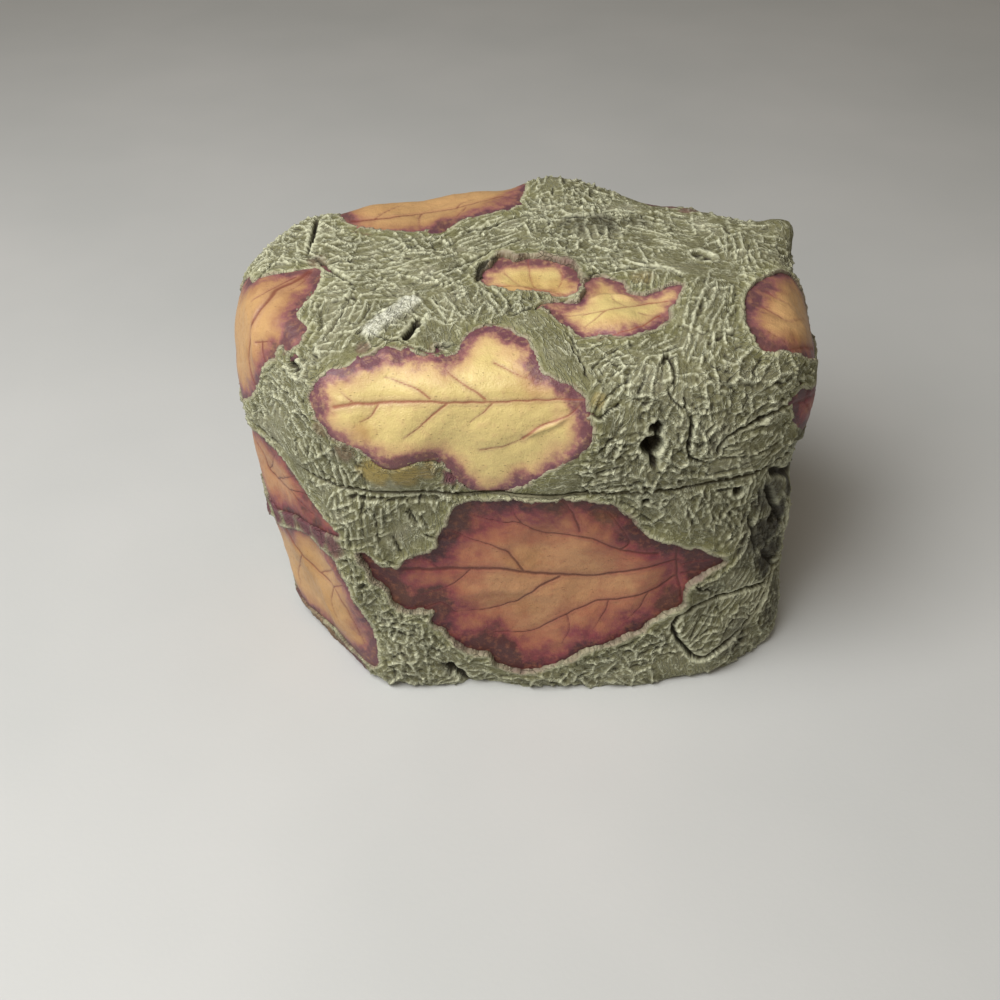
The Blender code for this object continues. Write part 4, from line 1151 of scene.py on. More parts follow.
BASE_LOW_VEINS_PX = (
    (0.24, 0.08, ((286, 530), (302, 555), (320, 573), (333, 587), (342, 602), (352, 620), (364, 645))),
    (0.14, 0.05, ((286, 517), (302, 526), (322, 537), (333, 548))),
    (0.12, 0.05, ((320, 573), (333, 570), (344, 560))),
    (0.12, 0.05, ((333, 587), (341, 586), (350, 584))),
    (0.12, 0.05, ((302, 555), (298, 570), (300, 585))),
    (0.12, 0.05, ((333, 587), (330, 602), (336, 618))),
)
LID_LEFT_VEINS_PX = (
    (0.34, 0.14, ((309, 271), (296, 281), (276, 289), (268, 300), (256, 319), (250, 340), (249, 360),
                  (255, 383), (261, 396), (266, 405))),
    (0.16, 0.06, ((296, 277), (280, 284), (262, 294), (251, 302))),
    (0.12, 0.05, ((312, 272), (300, 284), (290, 290))),
    (0.20, 0.08, ((262, 342), (264, 356), (272, 374), (284, 392), (292, 404))),
    (0.12, 0.05, ((256, 343), (264, 342), (272, 342))),
)
LID_TOP_VEINS_PX = (
    (0.16, 0.06, ((494, 281), (515, 283), (535, 287), (560, 290), (580, 292))),
    (0.12, 0.05, ((520, 262), (530, 272), (540, 282))),
    (0.10, 0.04, ((505, 270), (513, 277), (522, 283))),
    (0.10, 0.04, ((560, 266), (562, 276), (556, 288))),
)
LID_FOLD_VEINS_PX = (
    (0.16, 0.06, ((668, 300), (650, 302), (628, 306), (606, 310), (584, 314), (566, 315))),
    (0.14, 0.06, ((660, 314), (640, 326), (618, 333), (600, 336), (596, 331))),
    (0.10, 0.04, ((606, 310), (596, 318), (584, 328))),
    (0.10, 0.04, ((640, 313), (650, 315), (662, 316))),
    (0.10, 0.04, ((628, 306), (616, 300), (606, 292))),
)
LID_BACK_VEINS_PX = (
    (0.26, 0.12, ((352, 222), (390, 218), (425, 213), (458, 208), (490, 199), (503, 196))),
    (0.14, 0.05, ((421, 214), (419, 222), (420, 231))),
    (0.14, 0.05, ((456, 209), (462, 204), (474, 200))),
    (0.12, 0.05, ((375, 219), (385, 212), (400, 206))),
    (0.12, 0.05, ((466, 207), (456, 218), (450, 226))),
)
LID_RIGHT_VEINS_PX = (
    (0.22, 0.10, ((761, 350), (775, 351), (790, 350), (816, 350))),
    (0.14, 0.05, ((762, 305), (776, 313), (790, 320), (806, 320))),
    (0.12, 0.05, ((768, 330), (782, 338), (796, 345))),
    (0.12, 0.05, ((766, 290), (778, 298), (790, 304))),
)

# Stains on the leaves: place, width, and how brown and how purple each is. Two on the front red leaf are
# partly painted shade
LEAF_STAINS_PX = {
    "lid_front_leaf": (
        (364, 430, 4.5, 0.9, 0.0), (322, 405, 5.5, 0.2, 1.0), (556, 416, 4.5, 0.3, 0.9),
        (538, 432, 4.0, 0.2, 0.6), (578, 436, 5.0, 0.3, 0.8), (400, 462, 3.5, 0.6, 0.8),
        (425, 458, 3.5, 0.6, 0.8), (449, 474, 6.0, 0.5, 1.0), (389, 472, 6.5, 0.3, 0.15),
        (540, 376, 4.0, 0.6, 0.9), (345, 375, 4.0, 0.2, 0.6), (520, 345, 3.5, 0.2, 0.7),
        (425, 390, 3.0, 0.35, 0.0), (500, 380, 2.5, 0.3, 0.0), (520, 470, 4.0, 0.3, 0.5),
        (585, 415, 4.0, 0.2, 0.9), (343, 452, 4.0, 0.3, 0.6), (505, 338, 4.0, 0.2, 0.9),
        (540, 368, 5.0, 0.4, 1.0),
        (560, 385, 5.0, 0.4, 1.0), (576, 400, 5.0, 0.3, 1.0), (370, 362, 4.0, 0.2, 0.9),
        (395, 357, 4.0, 0.2, 0.8),
        (528, 388, 7.0, 0.9, 0.4), (550, 425, 4.0, 0.2, 0.5), (472, 330, 4.0, 0.2, 0.6),
    ),
    "base_front_leaf": (
        # The stains at (395, 595) and (430, 600) are partly the leaf's purple rim and partly painted shade by
        # the dark hollow at its left end
        (700, 565, 8.0, 0.2, 1.0), (375, 572, 9.0, 0.2, 1.0), (395, 595, 6.0, 0.6, 0.9),
        (524, 563, 7.0, 0.6, 0.2), (525, 607, 6.0, 0.6, 0.2), (640, 535, 8.0, 0.2, 0.9),
        (560, 508, 9.0, 0.3, 0.4), (600, 525, 7.0, 0.5, 0.3), (500, 650, 12.0, 0.3, 0.9),
        (430, 600, 9.0, 0.3, 0.8), (460, 520, 9.0, 0.3, 0.7), (668, 602, 7.0, 0.4, 0.7),
    ),
    "lid_left_leaf": (
        (312, 271, 8.0, 0.4, 1.0), (247, 352, 4.0, 0.8, 0.5), (290, 335, 6.0, 0.4, 1.0),
        (262, 396, 5.0, 0.6, 0.6), (275, 350, 4.0, 0.5, 0.7), (268, 408, 6.0, 0.6, 1.0),
        (300, 300, 5.0, 0.2, 0.6),
    ),
    "lid_right_leaf": (
        (797, 343, 5.0, 0.9, 0.3), (760, 300, 5.0, 0.4, 1.0), (757, 335, 5.0, 0.5, 1.0),
        (770, 350, 5.0, 0.4, 0.8), (772, 288, 5.0, 0.3, 0.9),
    ),
    "lid_top_leaf": (
        (505, 262, 7.0, 0.6, 1.0), (540, 263, 6.0, 0.6, 1.0), (572, 272, 5.0, 0.5, 1.0),
        (530, 280, 9.0, 1.0, 0.2), (555, 282, 7.0, 1.0, 0.2), (514, 284, 6.0, 1.0, 0.3),
        (500, 275, 4.0, 0.5, 0.6), (520, 290, 5.0, 0.1, 0.4),
    ),
    "lid_fold_leaf": (
        (556, 313, 6.0, 0.5, 0.8), (572, 330, 5.0, 0.2, 0.7), (612, 318, 5.0, 0.4, 0.0),
        (600, 290, 6.0, 0.5, 0.1),
    ),
    "lid_back_leaf": (
        (500, 198, 8.0, 0.3, 1.0), (345, 220, 6.0, 0.4, 0.9), (450, 225, 6.0, 0.3, 0.6),
        (385, 208, 5.0, 0.3, 0.4),
    ),
    "base_left_leaf": (
        (300, 500, 9.0, 0.6, 1.0), (270, 452, 7.0, 0.2, 0.5), (316, 510, 7.0, 0.5, 1.0),
        (292, 478, 6.0, 0.3, 0.7),
    ),
    "base_low_leaf": (
        (314, 545, 3.0, 0.9, 0.1), (322, 599, 3.0, 0.9, 0.1), (305, 565, 16.0, 1.0, 0.0),
        (330, 610, 14.0, 1.0, 0.1), (365, 655, 9.0, 0.3, 1.0),
        (350, 628, 7.0, 0.3, 0.8), (285, 528, 6.0, 0.3, 0.5), (334, 560, 6.0, 0.4, 0.6),
    ),
}

LEAF_THICKNESS = 1.2
# A narrow leaf shows its heart sooner: its way in from the rim counts this many times over
HEART_REACH = {"base_left_leaf": 2.4, "base_back_leaf": 1.4}
LEAF_OVERLAP = 1.4


# Folds raised in a leaf: height, half width and run
LEAF_FOLDS_PX = {
    "lid_front_leaf": (
        (0.55, 0.55, ((522, 437), (545, 428), (574, 414))), (0.35, 0.9, ((560, 462), (580, 448),
        (588, 428))),
        (0.30, 1.2, ((330, 385), (360, 372), (400, 366))),
    ),
    "base_front_leaf": (
        (0.35, 1.4, ((420, 545), (470, 540), (520, 552))), (0.35, 1.6, ((440, 605), (500, 590),
        (560, 600))),
        (0.40, 1.2, ((600, 512), (622, 526), (640, 542))), (0.30, 1.5, ((480, 640), (530, 650),
        (590, 632))),
    ),
    "lid_fold_leaf": ((0.5, 0.7, ((584, 302), (612, 296), (640, 300))),),
    "lid_top_leaf": ((0.4, 0.7, ((500, 284), (530, 286), (565, 291))),),
    "base_low_leaf": ((0.5, 1.2, ((318, 545), (345, 585), (368, 640))),),
    "lid_left_leaf": ((0.5, 1.0, ((262, 300), (254, 340), (262, 385))),),
}


def branching_veins(bed, pairs):
    """A plain leaf's veins in its own plane: a midrib with paired side veins."""
    x, y = bed.flat_loop[:, 0], bed.flat_loop[:, 1]
    left, right = bed.flat_loop[x.argmin()], bed.flat_loop[x.argmax()]
    half = (y.max() - y.min()) / 2
    share = np.linspace(0, 1, 9)[:, None]
    midrib = left + (right - left) * share + np.array([0, 1]) * half * 0.10 * np.sin(share * 3.0)
    veins = [(0.28, 0.08, midrib)]
    for k in range(pairs):
        at = 0.14 + 0.72 * k / pairs
        start = left + (right - left) * at + np.array([0, half * 0.10 * math.sin(at * 3.0)])
        reach = half * 1.05 * math.sin(math.pi * (0.22 + 0.62 * at))
        for side in (-1, 1):
            shift = 0.04 * (right[0] - left[0]) * (side > 0)
            steps = np.linspace(0, 1, 5)[:, None]
            run = start + steps * (reach * 0.75, 0) + steps**1.25 * (0, side * reach) + (shift, 0)
            veins.append((0.16, 0.05, run))
    return veins


def drawn_veins(bed, veins_px):
    """Veins drawn in pixels, laid in the leaf's own plane."""
    return [(a, b, bed.flat(open_curve(on_skin(run), 5))) for a, b, run in veins_px]


def vein_facts(flat, veins):
    """How many half widths each point is from the nearest vein, and its distance in millimetres."""
    ratio = np.full(len(flat), 9.0)
    nearest = np.full(len(flat), 9.0)
    for start, end, run in veins:
        far, share = distance_to_line(flat, run)
        ratio = np.minimum(ratio, far / (start + (end - start) * share))
        nearest = np.minimum(nearest, far)
    return ratio, nearest


def stain_facts(places, node):
    """How brown and how purple each place of a leaf is stained."""
    brown, purple = np.zeros(len(places)), np.zeros(len(places))
    for u, v, width, how_brown, how_purple in LEAF_STAINS_PX.get(node, ()):
        spot = on_skin([(u, v)])[0]
        ragged = np.linalg.norm(places - spot, axis=1) + 0.16 * width * noise(places, width / 3, 5)
        amount = ease(ragged, width / 2 * 1.5, width / 2 * 0.1)
        brown = np.maximum(brown, amount * how_brown)
        purple = np.maximum(purple, amount * how_purple)
    return brown, purple


def plate(name, tops, outward, faces, thickness):
    """A closed thin sheet: its top, the same shape below it, and walls round its edge."""
    count = len(tops)
    nxt = np.roll(faces, -1, axis=1)
    forward = faces.ravel() * count + nxt.ravel()
    backward = nxt.ravel() * count + faces.ravel()
    rim = ~np.isin(forward, backward)
    a, b = faces.ravel()[rim], nxt.ravel()[rim]
    walls = np.stack([b, a, a + count, b + count], 1)
    points = np.concatenate([tops, tops - outward * thickness])
    all_faces = np.concatenate([faces, faces[:, ::-1] + count, walls])
    return mesh_object(name, points, all_faces.tolist())


def make_leaf(bed, veins, spacing):
    """One clay leaf laid on the body, with engraved veins and quilted flesh between them."""
    low = bed.flat_loop.min(axis=0) - LEAF_OVERLAP - spacing
    high = bed.flat_loop.max(axis=0) + LEAF_OVERLAP + spacing
    columns, rows = (int(n) + 2 for n in (high - low) / spacing)
    xs, ys = np.meshgrid(np.arange(columns), np.arange(rows))
    flat = np.stack([xs.ravel(), ys.ravel()], 1) * spacing + low
    outside = bed.outside(flat)
    kept = outside < LEAF_OVERLAP
    grid = np.arange(rows * columns).reshape(rows, columns)
    quads = np.stack([grid[:-1, :-1], grid[:-1, 1:], grid[1:, 1:], grid[1:, :-1]], -1).reshape(-1, 4)
    quads = quads[kept[quads].all(axis=1)]
    used, quads = np.unique(quads, return_inverse=True)
    quads = quads.reshape(-1, 4)
    flat, outside = flat[used], outside[used]
    part = bed.node.split("_")[0]
    toward = Vector(bed.outward)
    places, outward = [], []
    for x, y in flat:
        start = Vector(bed.middle + bed.right * x + bed.up * y)
        place, normal, _, _ = SKIN.ray_cast(start + toward * 60, -toward)
        if place is None:
            place, normal, _, _ = SKIN.find_nearest(start)
        places.append(place)
        outward.append(normal)
    places, outward = np.array(places), np.array(outward)
    low_enough, high_enough = BASE_HEIGHT - 0.35, BASE_HEIGHT + SEAM_GAP + 0.35
    own = places[:, 2] < low_enough if part == "base" else places[:, 2] > high_enough
    used, quads = np.unique(quads[own[quads].all(axis=1)], return_inverse=True)
    quads = quads.reshape(-1, 4)
    flat, outside, places, outward = flat[used], outside[used], places[used], outward[used]
    wavy = flat + 0.18 * np.stack([noise(places, 2.2, s) for s in (101, 102)], 1)
    ratio, nearest = vein_facts(wavy, veins)
    brown, purple = stain_facts(places, bed.node)
    quilt = 0.16 * ease(nearest, 0.1, 2.2) + 0.09 * noise(places, 2.6, 103) + 0.035 * noise(places, 0.9, 104)
    groove = -0.13 * bell(ratio, 1.3) + 0.05 * bell(ratio - 2.6, 1.0)
    tucked = -0.35 * ease(outside, 0.0, 1.2)
    sink, _ = LEAF_SINKS.get(bed.node, (0.0, 0.0))
    for rise, half_width, run in LEAF_FOLDS_PX.get(bed.node, ()):
        far, share = distance_to_line(wavy, bed.flat(open_curve(on_skin(run), 6)))
        quilt += rise * bell(far, half_width) * ease(share, 0, 0.3) * ease(share, 1, 0.7)
    height = 0.06 - sink + quilt + groove + tucked + 0.22 * noise(places, 6.0, 105)
    tops = places + outward * height[:, None]
    thing = plate(bed.node + "_clay", tops, outward, quads, LEAF_THICKNESS)
    margin = -outside * HEART_REACH.get(bed.node, 1.0)
    facts = {"vein": ratio, "margin": margin, "brown": brown, "purple": purple}
    tell(thing, {key: np.concatenate([value, value]) for key, value in facts.items()})
    top_map = (flat - low) / (high - low) * (1, 0.49)
    both_maps = np.concatenate([top_map, top_map + (0, 0.5)])
    corner = np.empty(len(thing.data.loops), np.int32)
    thing.data.loops.foreach_get("vertex_index", corner)
    layer = thing.data.uv_layers.new(name="OFBake")
    layer.uv.foreach_set("vector", both_maps[corner].astype(np.float32).ravel())
    return thing


# Materials

def linear(code):
    """A colour's linear values from its sRGB hex code."""
    parts = [int(code[k : k + 2], 16) / 255 for k in (1, 3, 5)]
    return tuple(c / 12.92 if c <= 0.04045 else ((c + 0.055) / 1.055) ** 2.4 for c in parts) + (1.0,)


def pick(sockets, key):
    return sockets[key] if isinstance(key, int) else next(s for s in sockets if s.enabled and s.name == key)


def add_node(tree, kind, inputs=None, out=None, stops=(), **settings):
    """Adds a node with its settings and links, and returns the output to use."""
    node = tree.nodes.new("ShaderNode" + kind)
    for key, value in settings.items():
        setattr(node, key, value)
    while stops and len(node.color_ramp.elements) < len(stops):
        node.color_ramp.elements.new(1.0)
    for element, (place, colour) in zip(node.color_ramp.elements if stops else (), stops):
        element.position, element.color = place, colour
    for key, value in (inputs or {}).items():
        socket = pick(node.inputs, key)
        if isinstance(value, bpy.types.NodeSocket):
            tree.links.new(value, socket)
        else:
            socket.default_value = value
    if not node.outputs:
        return node
    return pick(node.outputs, out) if out is not None else next(o for o in node.outputs if o.enabled)


def blank(name):
    """An empty material, and the function that adds a node to it."""
    made = bpy.data.materials.new(name)
    made.use_nodes = True
    made.node_tree.nodes.clear()
    return made, partial(add_node, made.node_tree)


CLAY_IOR = 1.5


def finish_with(add, colour, roughness, height, depth, **shader):
    """Closes a material: its colour, its roughness and a bump this deep in millimetres."""
    bump = add("Bump", {"Height": height, "Distance": depth * METRES, "Strength": 1.0})
    inputs = {"Base Color": colour, "Roughness": roughness, "Normal": bump, "IOR": CLAY_IOR}
    inputs.update(shader)
    surface = add("BsdfPrincipled", inputs)
    add("OutputMaterial", {"Surface": surface})


def in_millimetres(add):
    """The object's own coordinates, in millimetres."""
    place = add("TexCoord", out="Object")
    return add("VectorMath", {0: place, 1: (1 / METRES,) * 3}, operation="MULTIPLY")


def turned_creases(add, place, turn, cell, width):
    """Thin straight creases, 1 on each, in cells of this many millimetres turned about Z."""
    turned = add("VectorRotate", {"Vector": place, "Angle": math.radians(turn)})
    drawn = add("VectorMath", {0: turned, 1: [1 / c for c in cell]}, operation="MULTIPLY")
    edge = add("TexVoronoi", {"Vector": drawn, "Scale": 1.0}, feature="DISTANCE_TO_EDGE")
    return add("MapRange", {0: edge, 1: 0.0, 2: width, 3: 1.0, 4: 0.0})


def green_skin_clay():
    """Baked polymer clay, textured by crumpling, then dry-brushed.

    It gives pale grey-green creases, partly dry-brush and partly painted highlight, olive flats, and
    brown-black gaps and hollows that are painted shade, with a dull waxy surface.
    """
    made, add = blank("green_polymer_clay_crumpled")
    place = in_millimetres(add)
    told = {
        name: add("Attribute", attribute_name=name, out="Fac")
        for name in ("crest", "hollow", "near_leaf", "frost", "crumple", "sheet_edge", "amber", "plum")
    }
    comb = add("Attribute", attribute_name="comb", out="Vector")
    wobble = add("TexNoise", {"Vector": place, "Scale": 0.7, "Detail": 2.0}, out="Color")
    comb = add("VectorMath", {0: comb, 1: wobble}, operation="ADD")
    bent = add("VectorMath", {0: place, 1: wobble}, operation="ADD")
    # Real creases are 0.3 to 0.6 mm apart. These are 0.6 to 2.6 mm apart, so that each one shows
    strands = turned_creases(add, comb, 0, (8.0, 0.85, 0.85), 0.08)
    crossing = turned_creases(add, comb, 63, (4.0, 1.6, 1.6), 0.06)
    net = turned_creases(add, bent, 20, (2.6, 1.7, 1.9), 0.05)
    fine = turned_creases(add, bent, 0, (0.62, 0.62, 0.62), 0.16)
    where = add("TexNoise", {"Vector": place, "Scale": 0.30, "Detail": 2.0})
    elsewhere = add("TexNoise", {"Vector": bent, "Scale": 0.36, "Detail": 1.0})
    whole = add("MapRange", {0: told["sheet_edge"], 1: 0.15, 2: 0.5, 3: 0.0, 4: 1.0})
    here = add("MapRange", {0: where, 1: 0.36, 2: 0.50, 3: 0.25, 4: 1.0})
    there = add("MapRange", {0: elsewhere, 1: 0.46, 2: 0.60, 3: 0.0, 4: 0.65})
    strands = add("Math", {0: strands, 1: here}, operation="MULTIPLY")
    crossing = add("Math", {0: crossing, 1: there}, operation="MULTIPLY")
    lines = add("Math", {0: strands, 1: crossing}, operation="MAXIMUM")
    lines = add("Math", {0: lines, 1: whole}, operation="MULTIPLY")
    netted = add("MapRange", {0: told["crumple"], 1: 0.0, 2: 1.0, 3: 0.12, 4: 1.0})
    netted = add("Math", {0: net, 1: netted}, operation="MULTIPLY")
    lines = add("Math", {0: lines, 1: netted}, operation="MAXIMUM")
    patches = add("TexNoise", {"Vector": place, "Scale": 0.16, "Detail": 3.0})
    grain = add("TexNoise", {"Vector": place, "Scale": 2.4, "Detail": 4.0, "Roughness": 0.7})
    flat = add("ValToRGB", {"Fac": patches}, out="Color", stops=(
        (0.30, linear("#4a4725")), (0.46, linear("#5e5c35")), (0.60, linear("#706e50")),
        (0.76, linear("#83806c"))))
    grainy = add("MapRange", {0: grain, 1: 0.25, 2: 0.75, 3: 0.0, 4: 1.0})
    shade = add("Math", {0: grainy, 1: 0.26}, operation="MULTIPLY")
    # Pale creases and crests: partly dry-brushed clay and partly painted highlight on the crests
    drybrush_and_highlight = add("Math", {0: fine, 1: 0.10}, operation="MULTIPLY")
    drybrush_and_highlight = add("Math", {0: lines, 1: 0.70, 2: drybrush_and_highlight}, operation="MULTIPLY_ADD")
    drybrush_and_highlight = add("Math", {0: told["crest"], 1: 0.72, 2: drybrush_and_highlight}, operation="MULTIPLY_ADD", use_clamp=True)
    # Where a leaf is close the skin is thinner and greener, and its very edge is stained
    calm = add("MapRange", {0: told["near_leaf"], 1: 0.6, 2: 4.0, 3: 0.4, 4: 0.0})
    rim = add("MapRange", {0: told["near_leaf"], 1: 0.0, 2: 0.9, 3: 1.0, 4: 0.0})
    rim = add("Math", {0: rim, 1: patches}, operation="MULTIPLY")
    rim = add("Math", {0: rim, 1: told["plum"]}, operation="MAXIMUM")
    amber = add("Math", {0: told["amber"], 1: 0.75}, operation="MULTIPLY")
    crusted = add("MapRange", {0: fine, 1: 0.0, 2: 1.0, 3: 0.45, 4: 1.0})
    frosted = add("Math", {0: told["frost"], 1: crusted}, operation="MULTIPLY")
    # Near-black painted shade from the hollow fact, in creases, gaps, holes, the seam and on the shaded side
    painted_shade_amount = add("MapRange", {0: told["hollow"], 1: 0.0, 2: 1.0, 3: 0.0, 4: 0.94})
    colour = flat
    for share, tint in (
        (shade, "#a3a386"), (drybrush_and_highlight, "#dcdfc2"), (calm, "#858450"), (rim, "#6d444b"),
        (amber, "#a8924e"), (frosted, "#dde0d2"), (painted_shade_amount, "#2a2416"),
    ):
        colour = add("Mix", {"Factor": share, "A": colour, "B": linear(tint)}, data_type="RGBA")
    rise = add("Math", {0: grain, 1: 0.22, 2: lines}, operation="MULTIPLY_ADD")
    rise = add("Math", {0: fine, 1: 0.08, 2: rise}, operation="MULTIPLY_ADD")
    roughness = add("MapRange", {0: drybrush_and_highlight, 1: 0.0, 2: 1.0, 3: 0.72, 4: 0.5})
    finish_with(add, colour, roughness, rise, 0.26)
    return made


def inner_clay():
    """The same clay worked smooth by thumb inside: dull olive with faint smears."""
    made, add = blank("inner_polymer_clay_smoothed")
    place = in_millimetres(add)
    cloud = add("TexNoise", {"Vector": place, "Scale": 0.11, "Detail": 4.0})
    smear = add("VectorMath", {0: place, 1: (0.5, 0.5, 2.2)}, operation="MULTIPLY")
    smear = add("TexNoise", {"Vector": smear, "Scale": 0.8, "Detail": 3.0, "Distortion": 0.6})
    tone = add("Math", {0: smear, 1: 0.4, 2: cloud}, operation="MULTIPLY_ADD")
    colour = add("ValToRGB", {"Fac": tone}, out="Color", stops=(
        (0.45, linear("#4b4834")), (0.62, linear("#5f5c45")), (0.80, linear("#75725a")),
        (1.0, linear("#807d62"))))
    pits = add("TexNoise", {"Vector": place, "Scale": 1.8, "Detail": 4.0, "Roughness": 0.6})
    rise = add("Math", {0: smear, 1: 1.4, 2: pits}, operation="MULTIPLY_ADD")
    roughness = add("MapRange", {0: pits, 1: 0.3, 2: 0.7, 3: 0.55, 4: 0.78})
    finish_with(add, colour, roughness, rise, 0.12)
    return made


def leaf_clay(name, heart, flesh, edge, rim, vein, edge_reach):
    """Translucent polymer clay pressed on a real leaf, tinted by hand and lightly burnished.

    It gives a warm heart that darkens through edge to rim, thin dark veins and small brown flecks.
    """
    made, add = blank(name)
    place = in_millimetres(add)
    near_vein = add("Attribute", attribute_name="vein", out="Fac")
    margin = add("Attribute", attribute_name="margin", out="Fac")
    brown = add("Attribute", attribute_name="brown", out="Fac")
    purple = add("Attribute", attribute_name="purple", out="Fac")
    cloud = add("TexNoise", {"Vector": place, "Scale": 0.20, "Detail": 4.0, "Roughness": 0.6})
    mottle = add("TexNoise", {"Vector": place, "Scale": 0.75, "Detail": 4.0, "Roughness": 0.65})
    grain = add("TexNoise", {"Vector": place, "Scale": 3.2, "Detail": 3.0, "Roughness": 0.6})
    cloudy = add("MapRange", {0: cloud, 1: 0.25, 2: 0.75, 3: -1.0, 4: 1.0})
    mottled = add("MapRange", {0: mottle, 1: 0.25, 2: 0.75, 3: -1.0, 4: 1.0})
    inward = add("Math", {0: cloudy, 1: edge_reach * 0.8, 2: margin}, operation="MULTIPLY_ADD")
    inward = add("Math", {0: mottled, 1: 0.45, 2: inward}, operation="MULTIPLY_ADD")
    inward = add("Math", {0: purple, 1: -edge_reach * 1.15, 2: inward}, operation="MULTIPLY_ADD")
    share = add("Math", {0: inward, 1: edge_reach * 2.6}, operation="DIVIDE")
    body = add("ValToRGB", {"Fac": share}, out="Color", stops=(
        (0.0, linear(rim)), (0.22, linear(edge)), (0.52, linear(flesh)), (0.95, linear(heart))))
    warm = add("MapRange", {0: mottle, 1: 0.50, 2: 0.72, 3: 0.0, 4: 0.5})
    blush = add("MapRange", {0: near_vein, 1: 1.0, 2: 6.5, 3: 0.35, 4: 0.0})
    plain = add("MapRange", {0: purple, 1: 0.0, 2: 1.0, 3: 0.55, 4: 0.1})
    stained = add("Math", {0: brown, 1: plain}, operation="MULTIPLY")
    # The real net of veinlets is about 0.5 mm across, drawn here at 1.1 mm so that it shows
    net = add("TexVoronoi", {"Vector": place, "Scale": 0.9}, feature="DISTANCE_TO_EDGE")
    net = add("MapRange", {0: net, 1: 0.0, 2: 0.07, 3: 1.0, 4: 0.0})
    netted = add("Math", {0: net, 1: 0.04}, operation="MULTIPLY")
    long = add("VectorMath", {0: place, 1: (0.8, 1.7, 1.7)}, operation="MULTIPLY")
    flecks = add("TexVoronoi", {"Vector": long, "Scale": 1.0, "Randomness": 1.0}, out="Distance")
    fleck = add("MapRange", {0: flecks, 1: 0.08, 2: 0.24, 3: 0.55, 4: 0.0})
    gate = add("MapRange", {0: mottle, 1: 0.46, 2: 0.56, 3: 0.0, 4: 1.0})
    fleck = add("Math", {0: fleck, 1: gate}, operation="MULTIPLY")
    line = add("MapRange", {0: near_vein, 1: 0.5, 2: 1.7, 3: 0.75, 4: 0.0})
    colour = body
    for share, tint in (
        (warm, flesh), (blush, edge), (stained, "#a5793f"), (netted, vein), (fleck, "#5d4526"), (line, vein),
    ):
        colour = add("Mix", {"Factor": share, "A": colour, "B": linear(tint)}, data_type="RGBA")
    rise = add("Math", {0: net, 1: -0.1, 2: grain}, operation="MULTIPLY_ADD")
    rise = add("Math", {0: mottle, 1: 1.5, 2: rise}, operation="MULTIPLY_ADD")
    roughness = add("MapRange", {0: mottle, 1: 0.3, 2: 0.7, 3: 0.34, 4: 0.52})
    finish_with(add, colour, roughness, rise, 0.10)
    return made


def floor_paper():
    """Matt pale laminate: an even cool grey with the faintest cloud."""
    made, add = blank("pale_matt_table")
    place = in_millimetres(add)
    cloud = add("TexNoise", {"Vector": place, "Scale": 0.012, "Detail": 3.0})
    colour = add("ValToRGB", {"Fac": cloud}, out="Color", stops=(
        (0.3, linear("#c3c7c8")), (0.7, linear("#cbcecf"))))
    grain = add("TexNoise", {"Vector": place, "Scale": 0.9, "Detail": 2.0})
    finish_with(add, colour, 0.55, grain, 0.02)
    return made


# Putting it together

SLOT_OF = {
    "lid_front_leaf": "yellow_leaf_clay", "lid_top_leaf": "yellow_leaf_clay",
    "lid_fold_leaf": "yellow_leaf_clay", "lid_left_leaf": "orange_leaf_clay",
    "lid_right_leaf": "orange_leaf_clay", "lid_low_leaf": "red_leaf_clay",
    "lid_back_leaf": "orange_leaf_clay", "lid_corner_leaf": "red_leaf_clay",
    "base_front_leaf": "red_leaf_clay", "base_left_leaf": "red_leaf_clay",
    "base_low_leaf": "orange_leaf_clay", "base_right_leaf": "orange_leaf_clay",
    "base_back_leaf": "red_leaf_clay",
}
VEINS_PX = {
    "lid_front_leaf": YELLOW_VEINS_PX, "base_front_leaf": RED_VEINS_PX,
    "base_left_leaf": BASE_LEFT_VEINS_PX, "base_low_leaf": BASE_LOW_VEINS_PX,
    "lid_left_leaf": LID_LEFT_VEINS_PX, "lid_top_leaf": LID_TOP_VEINS_PX,
    "lid_fold_leaf": LID_FOLD_VEINS_PX, "lid_back_leaf": LID_BACK_VEINS_PX,
    "lid_right_leaf": LID_RIGHT_VEINS_PX,
}
CLOSE_LEAVES = ("lid_front_leaf", "base_front_leaf", "lid_top_leaf", "lid_fold_leaf", "lid_left_leaf",
                "base_left_leaf", "base_low_leaf")
CLOSE_SPACING, FAR_SPACING = 0.25, 0.40


def add_floor():
    """A wide pale table top."""
    half = 1500.0
    points = [(-half, -half, 0), (half, -half, 0), (half, half, 0), (-half, half, 0)]
    floor = mesh_object("table_top", points, [(0, 1, 2, 3)], smooth=False)
    floor.data.materials.append(floor_paper())


def add_lamp(name, place, aim, size, watts, tint):
    """A soft square lamp, placed and aimed in millimetres."""
    lamp = bpy.data.lights.new(name, "AREA")
    lamp.size, lamp.energy = size * METRES, watts
    lamp.color = linear(tint)[:3]
    thing = bpy.data.objects.new(name, lamp)
    thing.location = Vector(place) * METRES
    thing.rotation_euler = (Vector(aim) - Vector(place)).to_track_quat("-Z", "Y").to_euler()
    bpy.context.scene.collection.objects.link(thing)


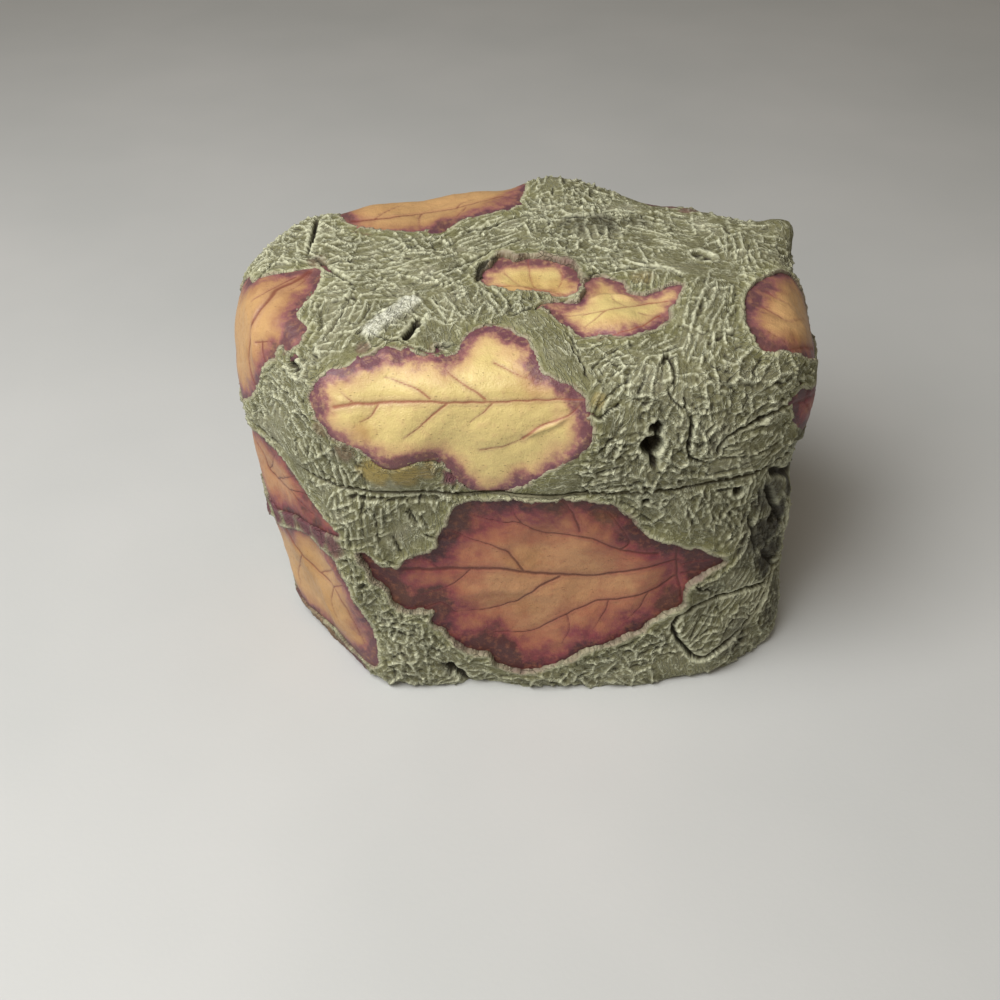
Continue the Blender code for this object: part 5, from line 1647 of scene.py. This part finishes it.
def add_light():
    """Soft window light from the front left and above, a weak fill, and a dim warm room."""
    add_lamp("window", (-250, -200, 490), (0, -35, 15), 400, 3.9, "#fdfaf6")
    add_lamp("fill", (60, -620, 480), (0, 0, 30), 500, 0.45, "#ffeedb")
    world = bpy.data.worlds.new("room")
    bpy.context.scene.world = world
    world.use_nodes = True
    backdrop = world.node_tree.nodes["Background"]
    backdrop.inputs["Color"].default_value = linear("#dccdb8")
    backdrop.inputs["Strength"].default_value = 0.22
    bpy.context.scene.view_settings.view_transform = "Standard"


def add_camera():
    """The photograph's own view."""
    camera = bpy.data.cameras.new("photo_view")
    camera.sensor_width = SENSOR
    camera.lens = SENSOR * FOCAL_PX / (2 * MIDDLE_PX)
    thing = bpy.data.objects.new("photo_view", camera)
    thing.location = EYE * METRES
    thing.rotation_euler = (math.pi / 2 - EYE_TILT, 0, 0)
    bpy.context.scene.collection.objects.link(thing)
    bpy.context.scene.camera = thing


def main():
    add_camera()
    add_light()
    add_floor()
    skin_look, inside_look = green_skin_clay(), inner_clay()
    leaf_looks = {
        "yellow_leaf_clay": leaf_clay(
            "yellow_leaf_polymer_clay", "#dcc887", "#cfae7e", "#9a6966", "#6c4350", "#96503f", 1.8),
        "orange_leaf_clay": leaf_clay(
            "orange_leaf_polymer_clay", "#c69f6e", "#b08560", "#8f5c5c", "#62404a", "#74392e", 2.3),
        "red_leaf_clay": leaf_clay(
            "red_leaf_polymer_clay", "#b98a62", "#a4694f", "#813d44", "#48222a", "#50231f", 5.6),
    }
    for maker, node, body in ((make_base_skin, "base_shell", "base"), (make_lid_skin, "lid_shell", "lid")):
        skin = maker()
        skin.data.materials.append(skin_look)
        skin.data.materials.append(inside_look)
        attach(skin, body)
        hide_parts(node)
    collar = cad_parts["rim_collar"]
    collar.data.materials.clear()
    collar.data.materials.append(inside_look)
    for node in LEAF_NODES:
        bed = BEDS[node]
        veins = drawn_veins(bed, VEINS_PX[node]) if node in VEINS_PX else branching_veins(bed, 4)
        leaf = make_leaf(bed, veins, CLOSE_SPACING if node in CLOSE_LEAVES else FAR_SPACING)
        leaf.data.materials.append(leaf_looks[SLOT_OF[node]])
        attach(leaf, "lid" if node.startswith("lid") else "base")
        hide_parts(node)


main()
